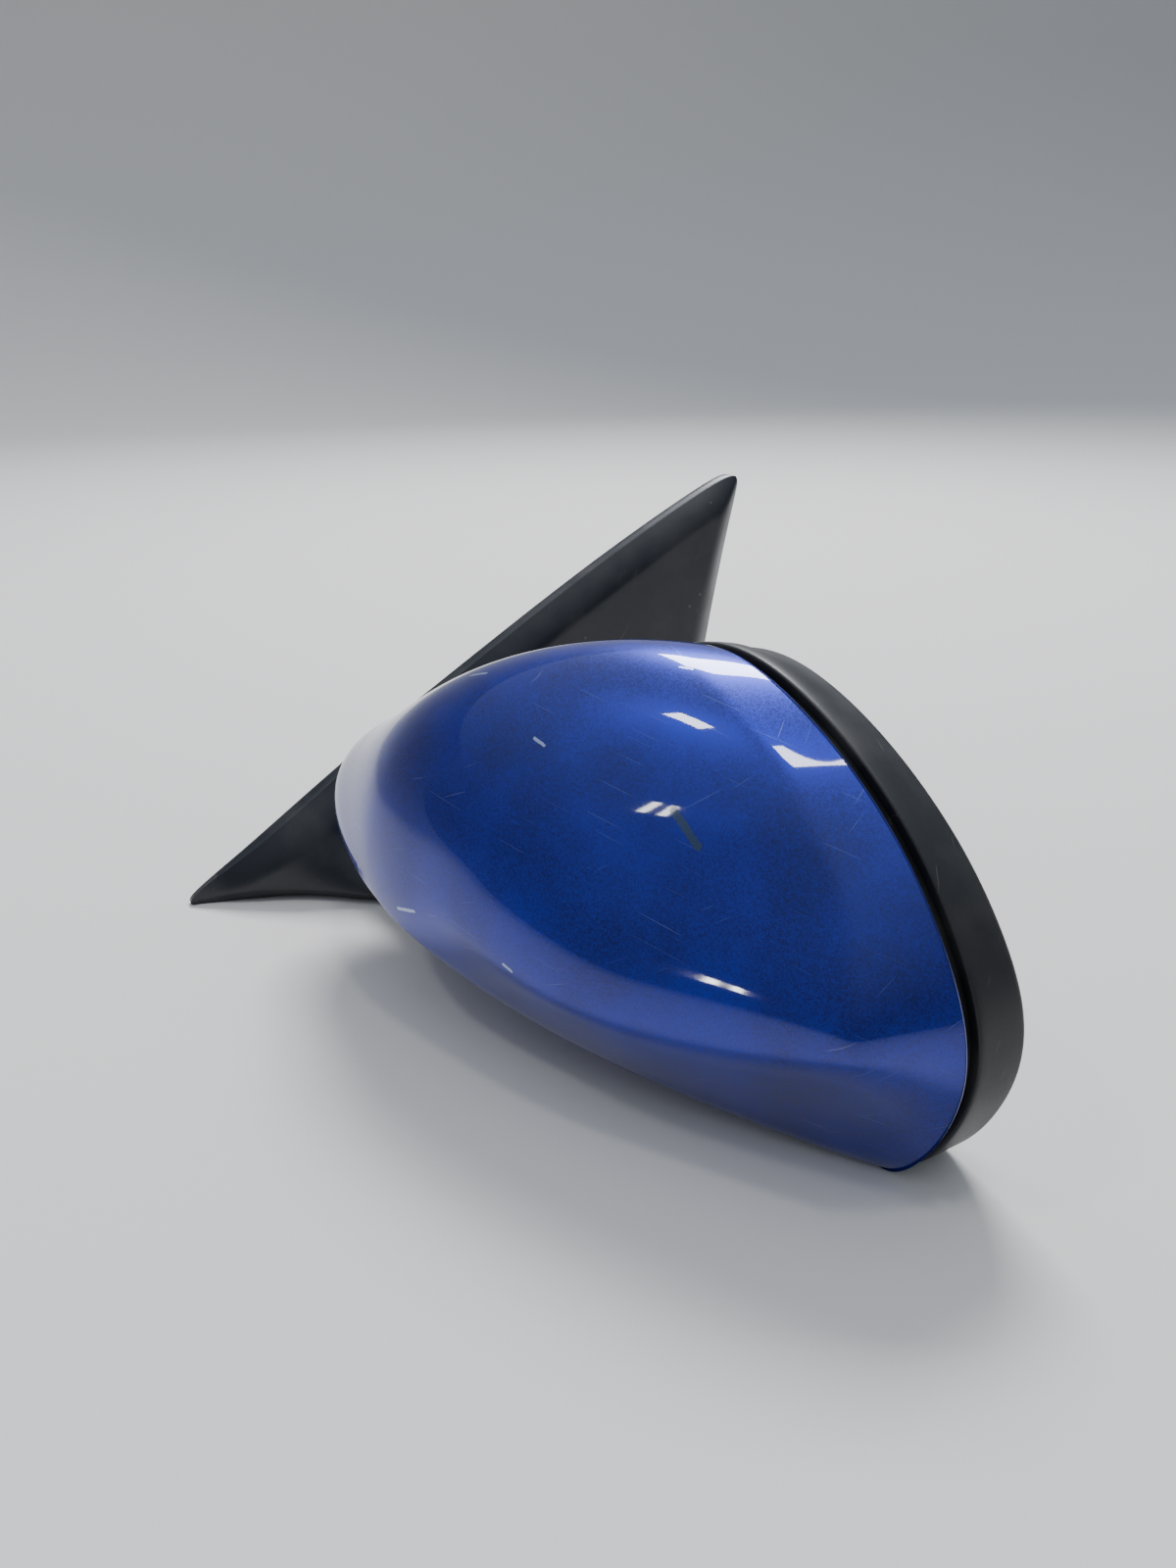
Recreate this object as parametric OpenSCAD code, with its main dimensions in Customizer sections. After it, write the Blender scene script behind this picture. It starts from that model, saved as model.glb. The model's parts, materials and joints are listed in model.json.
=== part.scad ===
// Left-hand exterior door mirror for a car, with a folding head and an electric glass drive.
// Millimetres. X runs rearward along the car, Y runs inboard, Z is up.
// Y = 0 is the face that lies against the door, and the part stands on Z = floor_z.

/* [Head] */
// Depth of the painted cap ahead of the rim plane
cap_depth = 82; // [60:1:110]
// Wall of the painted cap
cap_wall = 2.4; // [1.6:0.1:4]
// Scale of the head along its length, outboard of the pivot
head_reach = 1.0; // [0.9:0.01:1.25]
// Angle of the rim plane from square across the car
rim_angle = 5; // [0:0.5:12]
// Recessed shadow gap between the cap and the bezel
shadow_gap = 4; // [2:0.5:6]
// Width of the bezel band behind the shadow gap
bezel_band = 17; // [12:0.5:24]
// How far the upper side of the bezel drops towards its rear edge
bezel_taper = 3.5; // [0:0.5:4]
// Wall of the bezel band
bezel_wall = 3; // [2:0.2:5]

/* [Glass] */
// Distance from the head outline to the edge of the glass carrier
glass_inset = 10.4; // [8:0.2:14]
// Thickness of the mirror glass
glass_thickness = 2.2; // [1.6:0.1:3.2]
// Distance of each drive spindle from the glass centre
spindle_arm = 30; // [26:1:32]

/* [Foot] */
// Depth of the sail cover away from its rolled rim
sail_depth = 13; // [11:0.5:18]
// Wall of the sail cover
sail_wall = 2.2; // [1.6:0.1:3]
// How far the sail cover flares out towards the arm
flare_depth = 26; // [16:1:32]
// Radius of the arm turret shroud
turret_radius = 22; // [20:0.5:26]
// Level of the joint between the foot and the head
joint_z = -27.2; // [-32:0.2:-22]
// Radius of the tapping bore for the three M6 fixing screws
fixing_bore = 2.5; // [2.1:0.1:3]

/* [Pivot] */
// Radius of the hollow pivot post
post_radius = 9; // [8:0.5:11]
// Wall of the hollow pivot post
post_wall = 3; // [2:0.5:4]
// Top of the pivot post
post_top = 27; // [24:1:32]
// Coils in the fold spring
spring_turns = 4; // [3:1:6]

/* [Hidden] */
floor_z = -50;
pivot_x = -28;
pivot_y = -76;
head_x = -7.5;
head_y = -0.7;
pivot_h = [-27, -73.2];
bearing_fit = 0.09;
glass_s = 155;
glass_z = 8;
gimbal_x = -3;
bezel_front = shadow_gap;
bezel_rear = shadow_gap + bezel_band;
spans = 5;
dome_power = 1.8;
dome_skew = [-94, 13];
dome_centre = [189, -20];
turret_top = joint_z + 0.2;
washer_top = turret_top + 1;
lead_r = 2.8;
// What turns round the post takes its size from the post.
turret_r = post_radius + 7;
sleeve_r = post_radius + 5;
collar_r = turret_r + 4;
spring_mean = post_radius + 2.6;
spring_wire = 1.25;
// The gimbal keeps clear of the spindles.
gimbal_r = spindle_arm - 14;
ear_spot = gimbal_r + 2.7;
duct_z = -38;

// Head outline on the rim plane: s runs outboard, z runs up.
rim_points = [[42, 5], [45, 23], [80, 37], [127, 65], [170, 81], [228, 54], [256, 22],
  [271, -11], [248, -55], [231, -47], [149, -39], [103, -26], [69, -15]];

// Sail outline and the edge of its flat face, in x and z.
sail_points = [[-133, -52], [-105, -35], [-60, -2], [-8, 31], [49, 66.5], [98, 93],
  [120, 103], [115, 88], [103, 28], [94, -36], [90, -52], [60, -50], [0, -50], [-60, -50],
  [-105, -50]];
face_points = [[-104, -45], [-90, -38], [-52, -12], [-3, 19], [51, 53], [90, 76],
  [104, 84], [102, 74], [90, 26], [81, -34], [78, -46], [56, -45], [0, -45], [-56, -45],
  [-92, -45]];

// Weights of a uniform cubic B-spline.
function spline_weights(f) = [pow(1 - f, 3) / 6,
  (3 * pow(f, 3) - 6 * f * f + 4) / 6,
  (-3 * pow(f, 3) + 3 * f * f + 3 * f + 1) / 6,
  pow(f, 3) / 6];

function spline_point(q, i, f) = let (n = len(q), w = spline_weights(f))
  w[0] * q[(i + n - 1) % n] + w[1] * q[i] + w[2] * q[(i + 1) % n] + w[3] * q[(i + 2) % n];

function spline_loop(q, m) = [for (i = [0:len(q) - 1]) for (j = [0:m - 1])
  spline_point(q, i, j / m)];

function unit(v) = v / norm(v);

// Moves a closed outline inwards along its own normals.
function inset_loop(p, d) = let (n = len(p)) [for (i = [0:n - 1])
  let (t = unit(p[(i + 1) % n] - p[(i + n - 1) % n])) p[i] + d * [t[1], -t[0]]];

// Moves the straight sides of a closed outline inwards by d.
function mitre_loop(p, d) = let (n = len(p)) [for (i = [0:n - 1])
  let (
    a = unit(p[i] - p[(i + n - 1) % n]),
    b = unit(p[(i + 1) % n] - p[i]),
    h = [a[1] + b[1], -a[0] - b[0]]
  )
  p[i] + d * h / (1 + a * b)];

// Stretches the head outboard of the pivot by head_reach.
function reach(p) = [for (v = p) [v[0] < 90 ? v[0] : 90 + (v[0] - 90) * head_reach, v[1]]];

rim = reach(spline_loop(rim_points, spans));

// Section of the cap at level u, where u = 0 is the rim and u = 1 is the crown.
function dome_h(u) = pow(sin(90 * u), 2 / dome_power);
function dome_r(u) = pow(cos(90 * u), 2 / dome_power);
function dome_loop(base, u) = [for (v = base)
  dome_centre + dome_skew * dome_h(u) + dome_r(u) * (v - dome_centre)];
function level_of(depth) = asin(pow(depth / cap_depth, dome_power / 2)) / 90;

// Outline well inside the rim, rounded afresh from inset control points.
function inner_loop(d) = reach(spline_loop(mitre_loop(rim_points, d), spans));

// Outline of the bezel, drawn in along its upper side by bezel_taper.
function bezel_loop(d, share) = [for (v = inset_loop(rim, d))
  [v[0], v[1] - share * bezel_taper * smooth_step((v[1] + 5) / 60)]];

// Puts an outline given in s and z at depth x in the head frame.
function lift(loop, x) = [for (v = loop) [x, -v[0], v[1]]];

// Joins closed rings of points into one solid, capping the first and last.
module skin(rings) {
  n = len(rings[0]);
  m = len(rings);
  points = [for (r = rings) each r];
  walls = [for (k = [0:m - 2]) for (i = [0:n - 1])
    let (j = (i + 1) % n, a = k * n, b = a + n)
    each [[a + i, a + j, b + j], [a + i, b + j, b + i]]];
  first = [for (i = [0:n - 1]) n - 1 - i];
  last = [for (i = [0:n - 1]) (m - 1) * n + i];
  polyhedron(points = points, faces = concat([first], walls, [last]), convexity = 6);
}

// Joins closed rings of points into a closed hoop.
module band(rings) {
  n = len(rings[0]);
  m = len(rings);
  points = [for (r = rings) each r];
  polyhedron(points = points, convexity = 6, faces = [for (k = [0:m - 1]) for (i = [0:n - 1])
    let (j = (i + 1) % n, a = k * n, b = ((k + 1) % m) * n)
    each [[a + i, a + j, b + j], [a + i, b + j, b + i]]]);
}

// Round bar of radius r swept along a path, with its section turned from the side vector.
module sweep(path, r, sides, side) {
  n = len(path);
  rings = [for (k = [0:n - 1])
    let (
      t = unit(path[min(k + 1, n - 1)] - path[max(k - 1, 0)]),
      a = unit(cross(t, side)),
      b = cross(t, a)
    )
    [for (i = [0:sides - 1])
      let (q = 360 * i / sides) path[k] + r * (cos(q) * a + sin(q) * b)]];
  skin(rings);
}

// Prism of an outline in the head frame from x0 to x1.
module head_prism(loop, x0, x1) {
  translate([x0, 0, 0]) rotate([90, 0, 90]) linear_extrude(height = x1 - x0)
    polygon([for (v = loop) [-v[0], v[1]]]);
}

module in_head() {
  translate([head_x, head_y, 0]) rotate([0, 0, rim_angle]) children();
}

module at_pivot() {
  translate([pivot_x, pivot_y, 0]) children();
}

// Places children at a point of the head rim plane, with their z axis pointing rearward.
module on_rim(s, z, x) {
  translate([x, -s, z]) rotate([0, 90, 0]) children();
}

module pan_screw(r_head, h_head, r_shank, h_shank) {
  difference() {
    cylinder(r = r_head, h = h_head, $fn = 32);
    translate([-r_head * 0.55, -0.4, h_head - 0.9]) cube([r_head * 1.1, 0.8, 1]);
    translate([-0.4, -r_head * 0.55, h_head - 0.9]) cube([0.8, r_head * 1.1, 1]);
  }
  translate([0, 0, -h_shank]) cylinder(r = r_shank, h = h_shank + 0.1, $fn = 24);
}

// ---------- foot ----------

function smooth_step(v) = let (c = min(1, max(0, v))) c * c * (3 - 2 * c);

// Depth of the sail rim at x, thin at the front tip.
function edge_depth(x) = 2.6 + 3.6 * smooth_step((x + 126) / 34);

// Extra depth where the sail runs out into the arm.
function flare(x, z) = flare_depth * exp(-pow(max(0, abs(x - pivot_x) - 22) / 28, 2))
  * exp(-pow((z - floor_z) / 23, 2));

sail_edge = spline_loop(sail_points, spans);
sail_face = spline_loop(face_points, spans);
sail_mid = [20, -8];

// Ring of the sail surface: t = 0 at the rim, 1 at the face edge, then s shrinks it inwards.
function sail_ring(t, s, gap) = [for (i = [0:len(sail_edge) - 1])
  let (
    e = sail_edge[i] + unit(sail_mid - sail_edge[i]) * gap,
    p = e + (sail_face[i] - e) * t,
    q = sail_mid + (p - sail_mid) * s,
    d = edge_depth(q[0]),
    x = q[0],
    z = max(q[1], floor_z + gap),
    rise = d + (sail_depth - d) * sin(90 * t) * smooth_step((x + 132) / 50)
  )
  [x, -(rise + flare(x, z)) + gap, z]];

// Outline part way from the sail edge to the edge of its face.
function mix_loop(t) = [for (i = [0:len(sail_edge) - 1])
  sail_edge[i] + (sail_face[i] - sail_edge[i]) * t];

function flat_ring(loop, y, low) = [for (v = loop) [v[0], y, max(v[1], low)]];

sail_steps = [[0, 1], [0.14, 1], [0.32, 1], [0.6, 1], [1, 1], [1, 0.86], [1, 0.7], [1, 0.5],
  [1, 0.28], [1, 0.08]];

// Rings of the sail surface moved in by gap, from the door face to the middle.
function sail_rings(gap) = concat(
  [flat_ring([for (v = sail_edge) v + unit(sail_mid - v) * gap], -0.1, floor_z + gap)],
  [for (k = sail_steps) sail_ring(k[0], k[1], gap)]);

module arm_block(grow, top) {
  hull() {
    translate([pivot_x, pivot_y, floor_z - grow])
      cylinder(r = turret_radius + grow, h = top - floor_z + grow, $fn = 48);
    translate([pivot_x - 30 - grow, -22, floor_z - grow])
      cube([60 + 2 * grow, 8, top - floor_z + grow]);
  }
}

plate_depth = 3.4;
fixings = [[-64, -35], [66, -34], [72, 48]];
pegs = [[30, -38], [90, 66]];

// Cover screws in x and z, and how deep their posts run.
cover_fixings = [[-50, -17, 15.6], [72, -12, 12], [48, 36, 12]];

module sail_cover() {
  color([0.05, 0.06, 0.09]) difference() {
    skin(concat(backwards(sail_rings(sail_wall)), sail_rings(0)));
    arm_block(0.2, joint_z + 0.2);
  }
  color([0.05, 0.06, 0.09]) for (p = cover_fixings) {
    translate([p[0], -plate_depth - 0.1, p[1]]) rotate([90, 0, 0]) difference() {
      cylinder(r = 3.6, h = p[2] - plate_depth, $fn = 32);
      translate([0, 0, -1]) cylinder(r = 1.65, h = 7, $fn = 24);
    }
  }
}

module mount_bracket() {
  plate = mix_loop(1.1);
  color([0.62, 0.63, 0.65]) difference() {
    union() {
      rotate([90, 0, 0]) linear_extrude(height = plate_depth) polygon(plate);
      for (p = fixings) {
        translate([p[0], 0, p[1]]) rotate([90, 0, 0]) cylinder(r = 6.8, h = 9, $fn = 40);
      }
      for (p = pegs) {
        translate([p[0], 8, p[1]]) rotate([90, 0, 0]) cylinder(r = 3, h = 12, $fn = 32);
      }
      translate([pivot_x - 16, pivot_y + 6, -47]) cube([32, -pivot_y - 9.2, 17.4]);
      at_pivot() translate([0, 0, -47]) cylinder(r = turret_r, h = turret_top + 47, $fn = 64);
      at_pivot() translate([0, 0, -40])
        cylinder(r = post_radius, h = post_top + 40, $fn = 64);
    }
    for (p = fixings) {
      translate([p[0], 0.5, p[1]]) rotate([90, 0, 0])
        cylinder(r = fixing_bore, h = 8.5, $fn = 32);
    }
    for (p = cover_fixings) {
      translate([p[0], 1, p[1]]) rotate([90, 0, 0]) cylinder(r = 1.8, h = 12, $fn = 24);
      translate([p[0], 1, p[1]]) rotate([90, 0, 0]) cylinder(r = 3.7, h = 3.2, $fn = 32);
    }
    at_pivot() translate([0, 0, duct_z - 3])
      cylinder(r = post_radius - post_wall, h = post_top - duct_z + 4, $fn = 48);
    translate([pivot_x, 0, duct_z]) rotate([90, 0, 0])
      cylinder(r = 5, h = -pivot_y, $fn = 40);
    at_pivot() translate([0, 0, -48]) cylinder(r = 1.8, h = 6, $fn = 24);
    translate([pivot_x - 13.2, -8.2, duct_z - 7.2]) cube([26.4, 9, 14.4]);
  }
}

module arm_shroud() {
  color([0.05, 0.06, 0.09]) difference() {
    arm_block(0, joint_z);
    translate([0, 0, -0.2]) difference() {
      arm_block(-2, joint_z - 1.8);
      translate([-200, -200, floor_z - 5]) cube([400, 400, 2]);
    }
    translate([pivot_x - 28, -26, floor_z - 1]) cube([56, 16, joint_z - floor_z - 1]);
    hull() {
      translate([pivot_x, pivot_y, floor_z - 1])
        cylinder(r = turret_radius - 2, h = 6, $fn = 48);
      translate([pivot_x - 28, -24, floor_z - 1]) cube([56, 12, 6]);
    }
    at_pivot() translate([0, 0, joint_z - 4]) cylinder(r = turret_r + 0.3, h = 6, $fn = 64);
  }
}

module under_cover() {
  color([0.07, 0.07, 0.08]) difference() {
    translate([0, 0, floor_z + 0.2]) linear_extrude(height = 1.8) hull() {
      translate([pivot_x, pivot_y]) circle(r = turret_radius - 2.3, $fn = 48);
      translate([pivot_x - 27.7, -23.7]) square([55.4, 9.3]);
    }
    at_pivot() translate([0, 0, floor_z - 1]) cylinder(r = 1.9, h = 5, $fn = 24);
    at_pivot() translate([0, 0, floor_z - 1]) cylinder(r = 4, h = 2.4, $fn = 32);
  }
}

module under_cover_screw() {
  color([0.75, 0.76, 0.78]) at_pivot() translate([0, 0, floor_z + 1.4]) rotate([180, 0, 0])
    pan_screw(3.9, 1.1, 1.75, 5.6);
}

module door_gasket() {
  color([0.1, 0.1, 0.1]) rotate([90, 0, 0])
    linear_extrude(height = 3.1) difference() {
      polygon(mix_loop(0.55));
      polygon(mix_loop(0.9));
    }
}

module cover_screw(i) {
  p = cover_fixings[i];
  color([0.75, 0.76, 0.78]) translate([p[0], -2.2, p[1]]) rotate([-90, 0, 0])
    pan_screw(3.4, 2.2, 1.6, 6.5);
}

module cover_screw_front() {
  cover_screw(0);
}

module cover_screw_rear() {
  cover_screw(1);
}

module cover_screw_top() {
  cover_screw(2);
}

module harness_socket() {
  color([0.12, 0.12, 0.13]) difference() {
    translate([pivot_x - 13, -8.2, duct_z - 7]) cube([26, 18.2, 14]);
    translate([pivot_x - 11.2, -2, duct_z - 5.2]) cube([22.4, 13, 10.4]);
    translate([pivot_x - 10.05, -3.05, duct_z - 4.05]) cube([20.1, 1.1, 8.1]);
    translate([pivot_x, -1, duct_z]) rotate([90, 0, 0]) cylinder(r = 3, h = 8, $fn = 32);
  }
}

module socket_contacts() {
  color([0.78, 0.63, 0.32]) {
    translate([pivot_x - 10, -3, duct_z - 4]) cube([20, 1, 8]);
    for (k = [0:4]) {
      for (h = [-2.2, 2.2]) {
        translate([pivot_x - 8.4 + 4 * k, -2.2, duct_z + h - 0.4]) cube([0.8, 5.2, 0.8]);
      }
    }
  }
}

module foot_lead() {
  path = concat(
    [[pivot_x, -4, duct_z], [pivot_x, -30, duct_z], [pivot_x, -55, duct_z]],
    [for (a = [0:15:90]) [pivot_x, pivot_y + 8 - 8 * sin(a), duct_z + 8 - 8 * cos(a)]],
    [[pivot_x, pivot_y, -10], [pivot_x, pivot_y, post_top + 1]]
  );
  color([0.06, 0.06, 0.06]) sweep(path, lead_r, 16, [1, 0, 0]);
}

module friction_washer() {
  color([0.8, 0.78, 0.7]) at_pivot() translate([0, 0, turret_top]) difference() {
    cylinder(r = turret_r - 0.5, h = 1, $fn = 64);
    translate([0, 0, -1]) cylinder(r = post_radius + 0.3, h = 4, $fn = 64);
  }
}

sleeve_top = 6;

module spring_seat() {
  color([0.7, 0.71, 0.73]) at_pivot() translate([0, 0, sleeve_top + 0.3]) difference() {
    cylinder(r = sleeve_r, h = 1.2, $fn = 64);
    translate([0, 0, -1]) cylinder(r = post_radius + 0.1, h = 4, $fn = 64);
  }
}

module fold_spring() {
  low = sleeve_top + 1.5 + spring_wire;
  high = post_top - 4.2 - spring_wire;
  steps = spring_turns * 20;
  path = [for (k = [0:steps])
    let (
      a = 360 * spring_turns * k / steps,
      f = min(1, max(0, (k / steps * spring_turns - 0.75) / (spring_turns - 1.5)))
    )
    [pivot_x + spring_mean * cos(a), pivot_y + spring_mean * sin(a), low + (high - low) * f]];
  color([0.55, 0.56, 0.58]) sweep(path, spring_wire, 10, [0, 0, 1]);
}

module retaining_clip() {
  color([0.4, 0.41, 0.43]) at_pivot() translate([0, 0, post_top - 4.2]) difference() {
    cylinder(r = sleeve_r, h = 2, $fn = 64);
    translate([0, 0, -1]) cylinder(r = post_radius, h = 4, $fn = 64);
  }
}

// ---------- head ----------

floor_back = -14;
floor_front = -11.5;

// Tray of the frame: a floor, and a wall that runs up inside the cap and the bezel.
module frame_tray() {
  low = dome_loop(rim, level_of(-floor_back));
  mid = dome_loop(rim, level_of(7));
  skin(backwards([
    lift(inset_loop(low, 3.4), floor_back),
    lift(inset_loop(mid, 3.2), -7),
    lift(inset_loop(rim, 3), 0),
    lift(inset_loop(rim, 3), bezel_front + 3),
    lift(inset_loop(rim, 4.7), bezel_front + 3),
    lift(inset_loop(rim, 4.7), 0),
    lift(inset_loop(mid, 4.8), -7),
    lift(inset_loop(low, 5.4), floor_front)
  ]));
}

act_screws = [[38.2, 60], [38.2, 180], [38.2, 300]];

frame_fixings = [[61.8, 1], [84.6, 1]];

module head_frame() {
  color([0.2, 0.2, 0.21]) in_head() difference() {
    frame_tray();
    translate([pivot_h[0], pivot_h[1], -60]) cylinder(r = sleeve_r + 0.8, h = 120, $fn = 64);
    translate([pivot_h[0], pivot_h[1], -60]) cylinder(r = collar_r + 0.2, h = 52, $fn = 72);
    for (p = frame_fixings) {
      on_rim(p[0], p[1], -20) cylinder(r = 1.35, h = 20, $fn = 20);
    }
    on_rim(glass_s, glass_z, -60) cylinder(r = 36.3, h = 60, $fn = 72);
    on_rim(glass_s, glass_z, floor_front) cylinder(r = 40.9, h = 2.3, $fn = 72);
    for (p = act_screws) {
      on_rim(glass_s + p[0] * cos(p[1]), glass_z + p[0] * sin(p[1]), -20)
        cylinder(r = 1.3, h = 20, $fn = 20);
    }
  }
}

module pivot_sleeve() {
  color([0.22, 0.22, 0.23]) in_head() difference() {
    union() {
      translate([pivot_h[0], pivot_h[1], washer_top + 0.05])
        cylinder(r = sleeve_r, h = sleeve_top - washer_top, $fn = 64);
      translate([pivot_h[0], pivot_h[1] - sleeve_r - 3, -4])
        cube([floor_back - pivot_h[0], 2 * sleeve_r + 6, sleeve_top + 4]);
    }
    translate([pivot_h[0], pivot_h[1], -60])
      cylinder(r = post_radius + bearing_fit, h = 120, $fn = 64);
    for (p = frame_fixings) {
      on_rim(p[0], p[1], floor_back - 8) cylinder(r = 1.35, h = 20, $fn = 20);
    }
  }
}

module pivot_collar() {
  color([0.07, 0.07, 0.08]) at_pivot() translate([0, 0, joint_z + 0.4]) difference() {
    cylinder(r = collar_r, h = 17, $fn = 72);
    translate([0, 0, -1]) cylinder(r = turret_r + 0.4, h = 16, $fn = 64);
    translate([0, 0, 2]) cylinder(r = sleeve_r + 0.1, h = 20, $fn = 64);
  }
}

dome_levels = [0, 0.06, 0.14, 0.23, 0.33, 0.43, 0.53, 0.63, 0.72, 0.8, 0.87, 0.93, 0.975];

// Rings of the cap surface moved in by gap, from the rim to the crown.
function cap_rings(gap) = let (base = inset_loop(rim, gap))
  [for (u = dome_levels) lift(dome_loop(base, u), -(cap_depth - gap) * dome_h(u))];

function backwards(list) = [for (i = [len(list) - 1:-1:0]) list[i]];

module cap_shell() {
  color([0.03, 0.2, 0.6]) in_head() difference() {
    skin(concat(backwards(cap_rings(cap_wall)), cap_rings(0)));
    translate([pivot_h[0], pivot_h[1], -60]) cylinder(r = collar_r + 0.2, h = 56, $fn = 72);
  }
}

clip_spots = [[108, 36], [160, 60], [232, -8], [196, -36]];

module cap_clip(i) {
  p = clip_spots[i];
  color([0.85, 0.85, 0.82]) in_head() intersection() {
    on_rim(p[0], p[1], floor_back - cap_depth) cylinder(r = 3, h = cap_depth, $fn = 24);
    skin(cap_rings(cap_wall + 0.05));
  }
}

module cap_clip_inner() {
  cap_clip(0);
}

module cap_clip_upper() {
  cap_clip(1);
}

module cap_clip_outer() {
  cap_clip(2);
}

module cap_clip_lower() {
  cap_clip(3);
}

module bezel_ring() {
  lip = bezel_wall + 1.2;
  color([0.06, 0.06, 0.065]) in_head() band([
    lift(bezel_loop(3, 1), bezel_rear),
    lift(bezel_loop(1.7, 1), bezel_rear - 0.6),
    lift(bezel_loop(0.5, 0.9), bezel_rear - 2.2),
    lift(bezel_loop(0, 0.7), bezel_rear - 5),
    lift(bezel_loop(0, 0.25), bezel_front + 6),
    lift(bezel_loop(0, 0), bezel_front + 1.4),
    lift(bezel_loop(0.8, 0), bezel_front),
    lift(bezel_loop(2.9, 0), bezel_front),
    lift(bezel_loop(2.9, 0), bezel_front + 3.1),
    lift(bezel_loop(lip, 0), bezel_front + 3.1),
    lift(bezel_loop(lip, 0.25), bezel_front + 6),
    lift(bezel_loop(lip, 1), bezel_rear - 2)
  ]);
}

module frame_screw(i) {
  p = frame_fixings[i];
  color([0.7, 0.71, 0.73]) in_head() on_rim(p[0], p[1], floor_front)
    pan_screw(2.6, 1.4, 1.25, 9);
}

module frame_screw_inner() {
  frame_screw(0);
}

module frame_screw_outer() {
  frame_screw(1);
}

// ---------- glass drive ----------

module at_glass(x) {
  in_head() on_rim(glass_s, glass_z, x) children();
}

// In this frame x points down, y points inboard and z points rearward.
case_front = -14.5;
case_split = -24;
case_back = -36;

// Spindles of the vertical and the sideways tilt.
spindle_spots = [[-spindle_arm, 0, 0], [0, -spindle_arm, 0]];

module actuator_case_front() {
  color([0.13, 0.13, 0.14]) difference() {
    union() {
      at_glass(case_split) cylinder(r = 36, h = -9.5 - case_split, $fn = 72);
      at_glass(floor_front) cylinder(r = 40.6, h = -9.5 - floor_front, $fn = 72);
      at_glass(case_front - 1) for (q = [-1, 1]) {
        translate([-4, q * ear_spot - 1.5, 0]) cube([8, 3, 15.5]);
      }
    }
    difference() {
      at_glass(case_front) cylinder(r = 34, h = 20, $fn = 72);
      at_glass(case_front - 1) for (q = [-1, 1]) {
        translate([-4, q * ear_spot - 1.5, 0]) cube([8, 3, 15.5]);
      }
    }
    at_glass(case_split - 1) cylinder(r = 33.8, h = case_front - 2 - case_split + 1, $fn = 72);
    for (p = spindle_spots) {
      at_glass(-30) translate(p) cylinder(r = 2.45, h = 30, $fn = 32);
      at_glass(-12.6) translate(p) translate([-6.6, -6.6, 0]) cube([13.2, 13.2, 12]);
    }
    at_glass(gimbal_x) rotate([90, 0, 0]) translate([0, 0, -25])
      cylinder(r = 1.55, h = 50, $fn = 32);
    for (p = act_screws) {
      at_glass(-20) translate([-p[0] * sin(p[1]), -p[0] * cos(p[1]), 0])
        cylinder(r = 1.35, h = 20, $fn = 20);
    }
  }
}

module actuator_case_rear() {
  color([0.13, 0.13, 0.14]) difference() {
    at_glass(case_back) cylinder(r = 36, h = case_split - case_back, $fn = 72);
    at_glass(case_back + 2) cylinder(r = 33.8, h = 20, $fn = 72);
  }
}

module tilt_motor(v) {
  color([0.6, 0.61, 0.63]) at_glass(case_back + 8.2) translate([v, -12, 0])
    rotate([-90, 0, 0]) {
      cylinder(r = 6.2, h = 24, $fn = 40);
      translate([0, 0, -2]) cylinder(r = 2.4, h = 28, $fn = 32);
      translate([0, 0, -8]) cylinder(r = 1.2, h = 8, $fn = 24);
    }
}

module tilt_motor_upper() {
  tilt_motor(-13);
}

module tilt_motor_lower() {
  tilt_motor(13);
}

module drive_nut(p) {
  color([0.86, 0.85, 0.8]) at_glass(case_front - 7) translate(p) difference() {
    cylinder(r = 3.7, h = 5, $fn = 40);
    translate([0, 0, -1]) cylinder(r = 2.45, h = 8, $fn = 32);
  }
}

module drive_nut_pitch() {
  drive_nut(spindle_spots[0]);
}

module drive_nut_yaw() {
  drive_nut(spindle_spots[1]);
}

module spindle(p) {
  color([0.9, 0.9, 0.86]) at_glass(gimbal_x) translate(p) {
    sphere(r = 3.2, $fn = 48);
    translate([0, 0, -26]) cylinder(r = 2.4, h = 19.6, $fn = 32);
    translate([0, 0, -7]) cylinder(r = 1.5, h = 7, $fn = 32);
  }
}

module spindle_pitch() {
  spindle(spindle_spots[0]);
}

module spindle_yaw() {
  spindle(spindle_spots[1]);
}

module actuator_screw(i) {
  p = act_screws[i];
  color([0.75, 0.76, 0.78]) at_glass(-9.5) translate([-p[0] * sin(p[1]), -p[0] * cos(p[1]), 0])
    pan_screw(2.2, 1.5, 1.25, 8);
}

module actuator_screw_1() {
  actuator_screw(0);
}

module actuator_screw_2() {
  actuator_screw(1);
}

module actuator_screw_3() {
  actuator_screw(2);
}

module head_lead() {
  path = [[-27, -73.2, post_top + 1.5], [-27, -73.2, post_top + 2.5], [-27.5, -76, 34],
    [-29, -84, 36], [-31, -95, 33], [-32.5, -106, 25], [-33, -112, 17.8], [-33, -117.7, 12.6]];
  color([0.06, 0.06, 0.06]) in_head() sweep(path, lead_r, 16, [1, 0, 0]);
}

module swivel_ring() {
  color([0.85, 0.85, 0.8]) {
    at_glass(gimbal_x - 2) difference() {
      cylinder(r = gimbal_r, h = 4, $fn = 64);
      translate([0, 0, -1]) cylinder(r = gimbal_r - 3.5, h = 6, $fn = 64);
    }
    at_glass(gimbal_x) for (q = [0, 90, 180, 270]) {
      rotate([90, 0, q]) translate([0, 0, gimbal_r - 1]) cylinder(r = 1.5, h = 5.2, $fn = 32);
    }
  }
}

carrier_back = 7;
glass_back = 9.6;

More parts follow.
